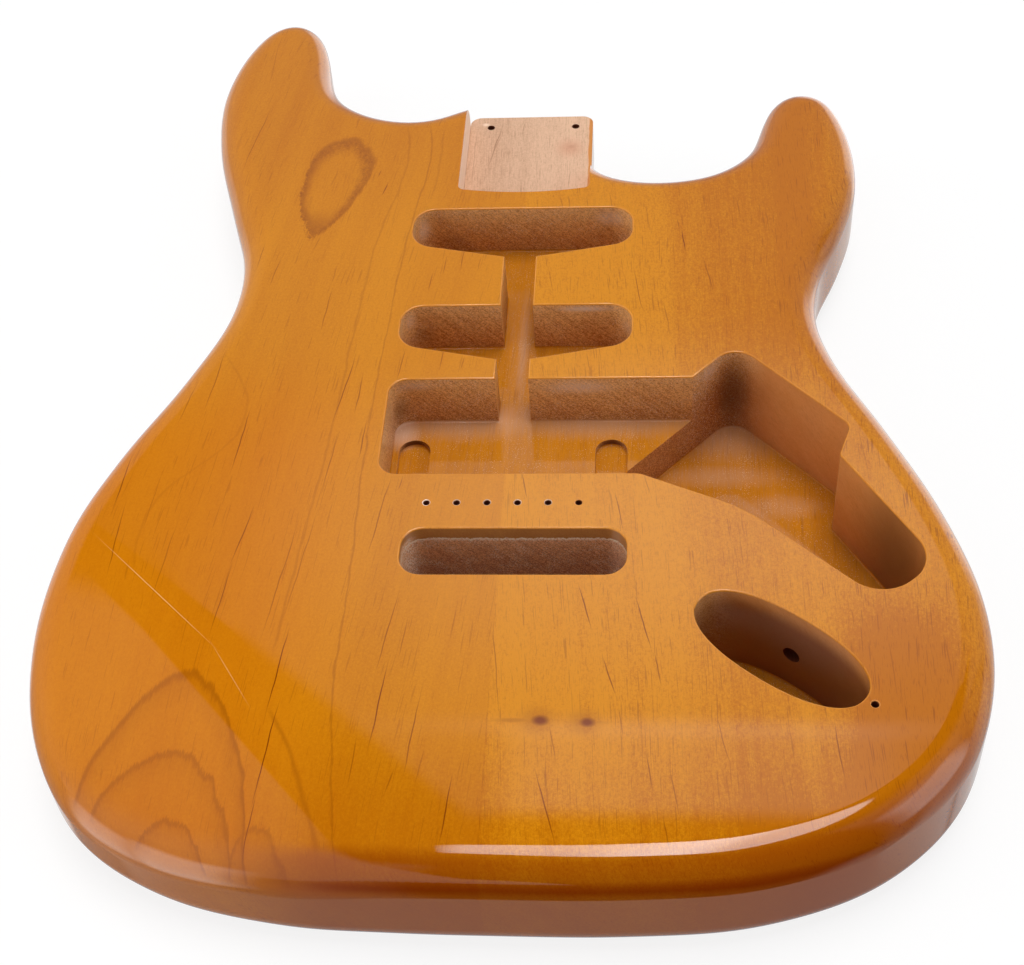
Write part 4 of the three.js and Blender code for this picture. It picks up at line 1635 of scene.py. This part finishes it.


# Painted reflections: pale sheen patches where the walls' lacquer mirrors the light.
WALL_SHEENS = (
    Patch((36, 166, -6), (9, 4, 6), 0.5), Patch((-43, 164, -9), (5, 5, 8), 0.5),
    Patch((27, 105, -2.6), (16, 3, 2.2), 0.8), Patch((42, 100, -9), (5, 5, 5), 0.35),
    Patch((-43, 103, -6), (4, 4, 6), 0.35), Patch((26, 64, -5), (20, 3, 5), 0.55),
    Patch((-38, 64, -4), (12, 4, 3.5), 0.4), Patch((-49, 58, -12), (4, 7, 16), 0.35),
    Patch((76, 70, -4), (7, 7, 5), 0.45),
)
# Painted shade: dark patches in the routs' deep corners, at the leg pockets' far ends and down the cavity's walls.
WALL_SHADES = (
    Patch((-40, 54, -25), (12, 7, 4), 1.2), Patch((38, 54, -25), (12, 7, 4), 1.0),
    Patch((-45, 62, -15), (7, 6, 9), 0.5), Patch((-30, 164, -18), (10, 5, 8), 0.45),
    Patch((-38, 103, -16), (8, 6, 8), 0.4), Patch((85, 77, -22), (10, 8, 24), 0.75),
    Patch((140, -8, -22), (27, 32, 60), 0.8), Patch((-30, -12, -40), (30, 5, 30), 0.3),
)
# Painted sheen: pale patches where the routs' floors catch the light, strongest on the jack rout's floor.
FLOOR_SHEENS = (
    Patch((-44, 59, -23), (12, 15, 6), 0.9), Patch((-20, 63, -23), (40, 14, 6), 0.5),
    Patch((34, 64, -23), (60, 14, 6), 0.5), Patch((84, 74, -41), (34, 24, 8), 0.42),
    Patch((80, 50, -41), (36, 9, 8), 0.3), Patch((103, 34, -41), (20, 9, 8), 0.3),
    Patch((1.5, 104, -23), (3.2, 44, 6), 0.3), Patch((78, -66, -39), (28, 16, 12), 1.2),
)


def wall_patches_group() -> None:
    """Builds the painted sheen (pale patches) and the painted shade (dark patches) that all the routed walls share.
    """
    graph, given, result = new_group("wall_sheen_and_shade", {"Place": "NodeSocketVector"}, ["Sheen", "Shade"])
    for label, patches in (("Sheen", WALL_SHEENS), ("Shade", WALL_SHADES)):
        masks = [patch.draw(graph, given["Place"]) for patch in patches]
        graph.put(result.inputs[label], graph.total("ADD", masks))


@dataclass(frozen=True)
class RoutWall:
    """A wall that the router left: torn end grain where the grain ends, smoother lacquered wood elsewhere."""

    name: str
    light: Colour = (0.95, 0.56, 0.22, 1)
    dark: Colour = (0.38, 0.13, 0.035, 1)
    smooth_light: Colour = (0.7, 0.31, 0.1, 1)
    smooth_dark: Colour = (0.54, 0.19, 0.045, 1)
    speck: Colour = (0.9, 0.74, 0.55, 1)
    lip_shadow: Colour = (0.2, 0.045, 0.012, 1)
    sheen: Colour = (0.78, 0.62, 0.5, 1)
    shade: Colour = (0.13, 0.045, 0.018, 1)
    dust: float = 1.0
    gloss: float = 1.0
    relief: float = 0.4 * MM

    def roughness_mask(self, graph: Graph, x: object, y: object, z: object) -> object:
        """Where the wall is torn, from 0 to 1."""
        return 1.0

    def dust_mask(self, graph: Graph, x: object, y: object, z: object) -> object:
        """Where extra pale dust lies, from 0 to 1."""
        return 0.0

    def build(self) -> None:
        """Makes the material."""
        graph, shader, place = new_material(self.name)
        x, y, z = graph.split(place)
        rough = self.roughness_mask(graph, x, y, z)
        cut = place_group(graph, "rough_cut", Place=place, Dust=self.dust)
        tone, dark, _ = Grain(fibre=0.5, band=0.4, pore=0.2, seed=5.0).tone(graph, place, 0.5)
        smooth = graph.blend(dark, graph.blend(tone, self.smooth_light, self.smooth_dark), self.dark)
        low = graph.times(graph.fall(y, -48.0, -26.0), graph.fall(z, -10.0, -1.0))
        smooth = graph.blend(graph.times(low, 0.85), smooth, self.lip_shadow)
        # The torn end grain's tone, with painted shade that darkens it from the upper edge down towards the rout's
        # floor.
        depth = graph.rise(z, -24.0, -2.0)
        torn = graph.scaled(depth, -0.35, 0.66)
        torn = graph.swing(cut["Crumb"], 3.6, torn)
        torn = graph.scaled(cut["Streak"], 0.22, torn, clamp=True)
        torn_colour = graph.blend(torn, self.light, self.dark)
        dusty = graph.most(graph.times(cut["Speck"], 0.8), self.dust_mask(graph, x, y, z))
        colour = graph.blend(rough, smooth, graph.blend(dusty, torn_colour, self.speck))
        patches = place_group(graph, "wall_sheen_and_shade", Place=place)
        # Painted reflection: the pale sheen patches, broken up by the crumbs.
        sheen = graph.times(patches["Sheen"], graph.rise(cut["Crumb"], 0.2, 0.62))
        # Painted shade: the dark patches.
        colour = graph.blend(patches["Shade"], graph.blend(sheen, colour, self.sheen), self.shade)
        height = graph.times(graph.math("ADD", cut["Crumb"], cut["Speck"]), graph.scaled(rough, 0.92, 0.08))
        bump = graph.add("ShaderNodeBump")
        graph.set_up(bump, {"Strength": 0.5, "Distance": self.relief, "Height": height})
        graph.set_up(shader, {"Base Color": colour, "Roughness": 0.5, "Specular IOR Level": 0.1,
                              "Coat Weight": graph.scaled(rough, -0.55 * self.gloss, self.gloss),
                              "Coat Roughness": 0.12, "Normal": bump.outputs["Normal"]})


@dataclass(frozen=True)
class SmoothWall(RoutWall):
    """The walls of the control cavity and the jack rout, torn only at their upper left ends."""

    def roughness_mask(self, graph: Graph, x: object, y: object, z: object) -> object:
        """Torn in the cavity's far left corner and at the jack rout's upper end."""
        corner = graph.times(graph.fall(x, 82.0, 100.0), graph.rise(y, 24.0, 40.0))
        upper = graph.times(graph.fall(x, 70.0, 84.0), graph.fall(y, -40.0, -30.0), 0.6)
        return graph.most(corner, upper)

    def dust_mask(self, graph: Graph, x: object, y: object, z: object) -> Socket:
        """Dust in the cavity's dark corner and at the jack rout's upper end."""
        crumbs = graph.noise(graph.shrink(x, y, z, (0.5, 0.5, 0.5)), 2.0, 0.6, 8.0)
        corner = graph.times(graph.fall(x, 80.0, 98.0), graph.rise(y, 50.0, 66.0))
        upper = graph.times(graph.fall(x, 66.0, 82.0), graph.fall(y, -50.0, -36.0))
        return graph.times(graph.most(corner, upper), graph.rise(crumbs, 0.56, 0.66))


@dataclass(frozen=True)
class SlotWall(RoutWall):
    """The slot's wall: smooth lacquer above a wavy line, torn end grain below it."""

    boundary: float = -5.4

    def roughness_mask(self, graph: Graph, x: object, y: object, z: object) -> object:
        """Torn below the wavy line, and all the way up at the left end."""
        below = graph.fall(self.wave(graph, x, y, z), self.boundary - 0.25, self.boundary + 0.25)
        left = graph.times(graph.fall(x, -34.0, -29.0), graph.fall(z, -4.0, -2.0))
        return graph.most(below, left)

    def wave(self, graph: Graph, x: object, y: object, z: object) -> Socket:
        """The height under the face, made wavy."""
        return graph.swing(graph.noise(graph.shrink(x, y, z, (2.0, 2.0, 9.0)), 3.0, 0.7, 6.0), 2.4, z)

    def dust_mask(self, graph: Graph, x: object, y: object, z: object) -> object:
        """Dust caught along the wavy line and at the left end."""
        crumbs = graph.noise(graph.shrink(x, y, z, (0.7, 0.7, 0.5)), 2.0, 0.6, 8.0)
        edge = graph.line(self.wave(graph, x, y, z), self.boundary - 0.4, 1.4)
        edge = graph.times(edge, graph.rise(crumbs, 0.38, 0.52))
        corner = graph.times(graph.fall(x, -35.0, -26.0), graph.rise(crumbs, 0.5, 0.62))
        return graph.most(edge, graph.times(corner, 0.9))


@dataclass(frozen=True)
class RoutFloor:
    """A rout's floor: amber lacquer with specks of dust, and pale patches of painted sheen."""

    name: str
    grain: Grain = Grain(lean=-0.05, seed=3.0, fibre=0.35, band=0.5, broad=0.4, pore=0.12, mottle=0.2)
    pale: Colour = (0.6, 0.215, 0.01, 1)
    deep: Colour = (0.38, 0.118, 0.003, 1)
    line: Colour = (0.2, 0.05, 0.005, 1)
    painted_floor_sheen: Colour = (0.6, 0.36, 0.24, 1)
    speck: Colour = (0.85, 0.66, 0.45, 1)

    def build(self) -> None:
        """Makes the material."""
        graph, shader, place = new_material(self.name)
        tone, dark, fibre = self.grain.tone(graph, place, 0.4)
        colour = graph.blend(dark, graph.blend(tone, self.pale, self.deep), self.line)
        # Painted sheen on the floor, broken up by the fibres.
        painted_floor_sheen = graph.most(*(patch.draw(graph, place) for patch in FLOOR_SHEENS))
        colour = graph.blend(graph.swing(fibre, 0.5, painted_floor_sheen, clamp=True), colour, self.painted_floor_sheen)
        specks = place_group(graph, "rough_cut", Place=place, Dust=0.75)["Speck"]
        colour = graph.blend(graph.times(specks, 0.6), colour, self.speck)
        graph.set_up(shader, {"Base Color": colour, "Roughness": 0.5, "Specular IOR Level": 0.0,
                              "Coat Weight": 0.6, "Coat Roughness": 0.08})


POCKET_KNOT = PinKnot(17.8, 229.0, 3.0)
POCKET_BLUSH = Patch((17.0, 228.0, -15.4), (9.0, 10.0, 20.0), 0.5)
POCKET_BURR = Patch((-21.8, 246.6, -15.4), (2.4, 1.7, 3.0), 0.8)


@dataclass(frozen=True)
class BareWood:
    """Wood with no lacquer, in the neck pocket, in drilled holes and on the glue joint; in the holes a near-black
    tone is painted shade.
    """

    name: str
    grain: Grain
    pale: Colour = (0.74, 0.47, 0.31, 1)
    deep: Colour = (0.54, 0.31, 0.19, 1)
    line: Colour = (0.3, 0.13, 0.06, 1)
    amber: Colour = (0.6, 0.2, 0.01, 1)
    blush: Colour = (0.62, 0.28, 0.17, 1)
    fresh: Colour = (0.95, 0.72, 0.56, 1)
    pocket: bool = False

    def build(self) -> None:
        """Makes the material."""
        graph, shader, place = new_material(self.name)
        x, y, z = graph.split(place)
        middle = graph.fall(x, -24.0, 24.0) if self.pocket else 0.5
        tone, dark, _ = self.grain.tone(graph, place, graph.scaled(middle, 0.4, 0.1))
        if self.pocket:
            warp = graph.noise(graph.shrink(x, y, z, (5.0, 14.0, 20.0)), 2.0, 0.5, 12.0)
            flat = graph.join(graph.swing(warp, 1.6, x), y)
            masks = [ResinAndGlintLine(*values).draw(graph, flat) for values in POCKET_LINES]
            masks.append(graph.times(POCKET_KNOT.draw(graph, flat), 0.4))
            dark = graph.most(dark, graph.most(*masks))
        colour = graph.blend(dark, graph.blend(tone, self.pale, self.deep), self.line)
        if self.pocket:
            colour = graph.blend(POCKET_BLUSH.draw(graph, place), colour, self.blush)
            burr = POCKET_BURR.draw(graph, place)
            pale_wall = graph.times(graph.fall(x, -26.9, -26.4), graph.rise(z, -15.2, -14.6))
            colour = graph.blend(graph.most(burr, pale_wall), colour, self.fresh)
            strip = graph.rise(graph.swing(warp, 2.0, x), 25.4, 25.9)
            colour = graph.blend(graph.times(strip, 0.85), colour, self.amber)
        graph.set_up(shader, {"Base Color": colour, "Roughness": 0.6, "Specular IOR Level": 0.3})


@dataclass
class Finishes:
    """All the body's materials."""

    bass_grain: Grain = Grain(lean=-0.1, seed=1.0, fibre=0.18, band=0.24, broad=0.25, pore=0.06, hair=0.24,
                              mottle=0.65)
    treble_grain: Grain = Grain(lean=0.1, fan=-0.0008, seed=6.0, fibre=0.42, band=0.4, broad=0.4, pore=0.22,
                                hair=0.36, mottle=1.2)

    def build(self) -> None:
        """Makes the shared groups, then a material for each finish."""
        wood_grain_group()
        rough_cut_group()
        wall_patches_group()
        Lacquer(Finish.FACE.value, self.bass_grain).build()
        Lacquer("bass_lacquer", self.bass_grain, figure=Figure.BASS).build()
        Lacquer("treble_lacquer", self.treble_grain, figure=Figure.TREBLE).build()
        Lacquer(Finish.RIM.value, Grain(lean=-0.02, seed=2.0, fibre=0.5), pale=(0.7, 0.28, 0.04, 1),
                deep=(0.56, 0.19, 0.015, 1), end_stain=0.0).build()
        RoutFloor(Finish.FLOOR.value).build()
        RoutWall(Finish.ROUGH_WALL.value).build()
        SmoothWall(Finish.SMOOTH_WALL.value).build()
        SlotWall(Finish.SLOT_WALL.value, light=(0.95, 0.5, 0.24, 1), dark=(0.4, 0.135, 0.055, 1),
                 smooth_light=(0.56, 0.24, 0.06, 1), smooth_dark=(0.36, 0.13, 0.028, 1),
                 dust=1.3, gloss=0.55).build()
        BareWood(Finish.POCKET.value, Grain(lean=0.02, seed=8.0, fibre=0.5, pore=0.3, mottle=0.9),
                 pocket=True).build()
        # Painted shade: the drilled holes' bare wood is made near-black, though it is pale elsewhere.
        BareWood(Finish.BORE.value, Grain(seed=9.0), pale=(0.2, 0.05, 0.02, 1), deep=(0.1, 0.02, 0.008, 1)).build()
        BareWood(Finish.GLUE.value, Grain(seed=11.0)).build()

    def dress(self, boards: dict[str, bpy.types.Object]) -> None:
        """Gives each board the lacquer with its own grain.

        Args:
            boards: the boards by their CAD nodes' names.
        """
        own = {"bass_side_board": "bass_lacquer", "treble_side_board": "treble_lacquer"}
        for node, piece in boards.items():
            for index, material in enumerate(piece.data.materials):
                if material.name == Finish.FACE.value:
                    piece.data.materials[index] = bpy.data.materials[own[node]]
            log.info("%s dressed: %s", piece.name, [material.name for material in piece.data.materials])


# ---------------------------------------------------------------- studio


@dataclass(frozen=True)
class Panel:
    """A pale area of the room, by compass direction and height in degrees, that the lacquer mirrors."""

    left: float
    right: float
    low: float
    high: float
    level: float
    softness: float = 5.0

    def shine(self, graph: Graph, compass: object, height: object) -> Socket:
        """How bright the panel is in a direction.

        Args:
            graph: the world's nodes.
            compass: the direction's angle from +Y towards +X.
            height: its angle above the floor.

        Returns:
            The brightness.
        """
        soft = self.softness
        masks = [self.level, graph.rise(height, self.low - soft, self.low + soft),
                 graph.fall(height, self.high - soft, self.high + soft)]
        if self.right - self.left < 360:
            masks += [graph.rise(compass, self.left - soft, self.left + soft),
                      graph.fall(compass, self.right - soft, self.right + soft)]
        return graph.times(*masks)


ROOM = (
    Panel(-180, 180, -100, -57, 0.47, 0.6),
    Panel(-164, -56, -60, 48, 0.34, 6),
    Panel(-147, -122, -34, 15, 3.0, 7),
    Panel(-126, -100, -34, 8, 2.5, 9),
    Panel(-146, -92, -60, 46, 0.6, 8),
    Panel(-60, 62, -60, 42, 0.42, 5),
    Panel(-60, 62, -60, 0, 0.8, 8),
    Panel(2, 46, -34, 9, 1.6, 8),
    Panel(60, 124, -60, 60, 0.3, 6),
    Panel(84, 118, -4, 40, 2.6, 7),
    Panel(60, 112, -60, 6, 0.85, 8),
    Panel(108, 136, -60, -32, 0.45, 8),
)


@dataclass
class Studio:
    """The floor, the lights and the camera."""

    floor_size: float = 12.0
    floor_glow: float = 0.84
    floor_grey: Colour = (0.45, 0.45, 0.45, 1)
    floor_white: Colour = (0.98, 0.98, 0.98, 1)
    back_level: float = 0.42
    core_level: float = 1.05
    left_level: float = 0.44
    top_level: float = 6.0
    camera_elevation: float = math.radians(47.2)
    camera_yaw: float = math.radians(6.54)
    camera_roll: float = math.radians(-4.95)
    camera_target: tuple[float, float, float] = (3.0, 9.6, 0.0)
    camera_distance: float = 0.63
    camera_lens: float = 61.59

    def floor(self) -> None:
        """A white floor that keeps the body's soft shadow."""
        bm = bmesh.new()
        bmesh.ops.create_grid(bm, x_segments=1, y_segments=1, size=self.floor_size / 2)
        made = mesh_object(bm, "studio_floor", [])
        material = bpy.data.materials.new("floor_paper")
        material.use_nodes = True
        tree = material.node_tree
        graph = Graph(tree)
        path = graph.add("ShaderNodeLightPath")
        seen = path.outputs["Is Camera Ray"]
        shader = tree.nodes["Principled BSDF"]
        tone = graph.blend(seen, self.floor_grey, self.floor_white)
        graph.set_up(shader, {"Base Color": tone, "Roughness": 0.9, "Specular IOR Level": 0.0})
        glow = graph.add("ShaderNodeEmission")
        glow.inputs["Color"].default_value = WHITE
        paper = graph.mix_shaders(graph.times(seen, self.floor_glow), shader, glow)
        clear = graph.add("ShaderNodeBsdfTransparent")
        mix = graph.mix_shaders(path.outputs["Is Glossy Ray"], paper, clear)
        graph.put(tree.nodes["Material Output"].inputs["Surface"], mix.outputs[0])
        made.data.materials.append(material)

    def back_wall(self, graph: Graph, u: object, v: object) -> Socket:
        """The bright wall behind the body, with its bright core and the gap at its left.

        Args:
            graph: the world's nodes.
            u: how far a direction leans to +X, for one unit up.
            v: how far it leans to +Y.

        Returns:
            The brightness.
        """
        left = graph.times(graph.math("MINIMUM", graph.most(graph.less(-0.12, u), 0.0), 0.18), 0.85)
        step = graph.times(graph.rise(u, 0.15, 0.21), 0.065)
        right = graph.times(graph.most(graph.less(u, 0.55), 0.0), 0.6)
        above = graph.less(v, graph.total("ADD", [0.622, left, step, right]))
        dim = graph.times(graph.fall(u, -0.42, -0.25), graph.fall(v, 0.95, 1.15))
        level = graph.scaled(dim, -0.8 * self.back_level, self.back_level)
        wall = graph.times(graph.rise(above, -0.008, 0.008), level)
        core = graph.times(graph.fall(graph.oval(u, v, (0.05, 0.89), (0.42, 0.24)), 0.1, 1.0), self.core_level)
        shelf = graph.times(graph.rise(above, -0.005, 0.01), graph.fall(v, 0.685, 0.7))
        shelf = graph.times(shelf, graph.rise(u, -0.12, -0.07), graph.fall(u, 0.13, 0.2), 0.65)
        strip = graph.times(graph.line(v, 0.692, 0.014), graph.line(u, 0.04, 0.3), 0.7)
        return graph.total("ADD", [wall, core, shelf, strip])

    def left_wall(self, graph: Graph, u: object, v: object) -> Socket:
        """The pale area at the upper left, cut off by two slanting edges.

        Args:
            graph: the world's nodes.
            u: how far a direction leans to +X, for one unit up.
            v: how far it leans to +Y.

        Returns:
            The brightness.
        """
        near = graph.scaled(graph.math("ADD", u, 0.42), -1.15, 0.4)
        far = graph.scaled(graph.math("ADD", u, 0.55), -0.42, 0.56)
        off = graph.less(v, graph.math("MINIMUM", near, far))
        level = graph.scaled(graph.fall(v, -0.7, 0.5), 0.3, self.left_level)
        return graph.times(graph.fall(off, -0.015, 0.015), graph.fall(u, -0.47, -0.38), level)

    def right_fan(self, graph: Graph, u: object, v: object) -> Socket:
        """The light that grows towards the right soft box.

        Args:
            graph: the world's nodes.
            u: how far a direction leans to +X, for one unit up.
            v: how far it leans to +Y.

        Returns:
            The brightness.
        """
        low = graph.scaled(graph.math("MINIMUM", v, 0.0), 0.35, u)
        bright = graph.times(graph.fall(v, -0.5, 0.3), graph.rise(u, 0.78, 1.08))
        bright = graph.scaled(bright, 0.85, 0.5)
        side = graph.rise(graph.over(v, graph.most(u, 0.1)), -0.7, -0.5)
        return graph.times(graph.rise(low, 0.5, 1.0), bright, graph.fall(v, 0.3, 0.65), side)

    def upper_room(self, graph: Graph, x: object, y: object, z: object) -> list[Socket]:
        """The light overhead and the walls, as they stand above the face.

        Args:
            graph: the world's nodes.
            x: the direction's X.
            y: the direction's Y.
            z: the direction's Z.

        Returns:
            The brightness of each.
        """
        height = graph.most(z, 0.02)
        u = graph.over(x, height)
        v = graph.over(y, height)
        above = graph.rise(z, 0.02, 0.06)
        lamp = graph.oval(u, v, (0.08, 0.15), (0.25, 0.34))
        level = graph.scaled(graph.line(u, 0.05, 0.1), 0.75 * self.top_level, self.top_level)
        lamp = graph.times(graph.fall(lamp, 0.95, 1.04), graph.rise(u, -0.135, -0.105), level)
        parts = [lamp, self.back_wall(graph, u, v), self.left_wall(graph, u, v), self.right_fan(graph, u, v)]
        return [graph.times(part, above) for part in parts]

    def world(self) -> None:
        """A white room whose lights, walls and gaps the lacquer mirrors."""
        world = bpy.data.worlds.new("white_room")
        bpy.context.scene.world = world
        world.use_nodes = True
        tree = world.node_tree
        tree.nodes.clear()
        graph = Graph(tree)
        x, y, z = graph.split(graph.add("ShaderNodeTexCoord").outputs["Generated"])
        compass = graph.math("DEGREES", graph.math("ARCTAN2", x, y))
        height = graph.math("DEGREES", graph.math("ARCSINE", z))
        panels = [panel.shine(graph, compass, height) for panel in ROOM]
        level = graph.total("MAXIMUM", panels + self.upper_room(graph, x, y, z))
        room, seen = graph.add("ShaderNodeBackground"), graph.add("ShaderNodeBackground")
        graph.set_up(room, {"Color": WHITE, "Strength": level})
        graph.set_up(seen, {"Color": WHITE, "Strength": 1.0})
        mix = graph.mix_shaders(graph.add("ShaderNodeLightPath").outputs["Is Camera Ray"], room, seen)
        graph.put(graph.add("ShaderNodeOutputWorld").inputs["Surface"], mix.outputs[0])

    def lamp(self, name: str, compass: float, height: float, distance: float, size: float, power: float) -> None:
        """A large soft box turned towards the body.

        Args:
            name: the lamp's name.
            compass: its direction from +Y towards +X, in degrees.
            height: its height above the floor, in degrees.
            distance: how far it stands from the body, in metres.
            size: its width, in metres.
            power: its power, in watts.
        """
        light = bpy.data.lights.new(name, "AREA")
        light.shape = "SQUARE"
        light.size = size
        light.energy = power
        made = bpy.data.objects.new(name, light)
        side, up = math.radians(compass), math.radians(height)
        towards = Vector((math.sin(side) * math.cos(up), math.cos(side) * math.cos(up), math.sin(up)))
        turn = towards.to_track_quat("Z", "Y").to_matrix().to_4x4()
        made.matrix_world = Matrix.Translation(towards * distance) @ turn
        made.visible_glossy = False
        bpy.context.scene.collection.objects.link(made)

    def camera(self) -> None:
        """The camera, where the photograph was taken from."""
        elevation, yaw, roll = self.camera_elevation, self.camera_yaw, self.camera_roll
        level_back = math.cos(elevation)
        back = Vector((math.sin(yaw) * level_back, -math.cos(yaw) * level_back, math.sin(elevation)))
        target = SHAPING_TO_ROW @ Vector(self.camera_target)
        level_right = (-back).cross(Vector((0, 0, 1))).normalized()
        level_up = level_right.cross(-back)
        right = level_right * math.cos(roll) + level_up * math.sin(roll)
        up = level_up * math.cos(roll) - level_right * math.sin(roll)
        camera = bpy.data.cameras.new("camera")
        camera.sensor_width = 36.0
        camera.lens = self.camera_lens
        camera.clip_start, camera.clip_end = 0.01, 50.0
        made = bpy.data.objects.new("camera", camera)
        place = Matrix.Translation(target + back * self.camera_distance)
        made.matrix_world = place @ Matrix((right, up, back)).transposed().to_4x4()
        bpy.context.scene.collection.objects.link(made)
        bpy.context.scene.camera = made

    def build(self) -> None:
        """Sets up the whole studio."""
        self.floor()
        self.world()
        self.lamp("top_soft_box", compass=20, height=80, distance=2.0, size=1.4, power=7.5)
        self.lamp("left_soft_box", compass=-100, height=10, distance=2.0, size=1.6, power=16.0)
        self.camera()
        bpy.context.scene.view_settings.view_transform = "Standard"


def main() -> None:
    """Builds the finishes, the body and the studio."""
    logging.basicConfig(level=logging.INFO, format="%(name)s: %(message)s")
    finishes = Finishes()
    finishes.build()
    boards = GuitarBody().build()
    finishes.dress(boards)
    Studio().build()
    bpy.context.view_layer.update()


if __name__ == "__main__":
    main()
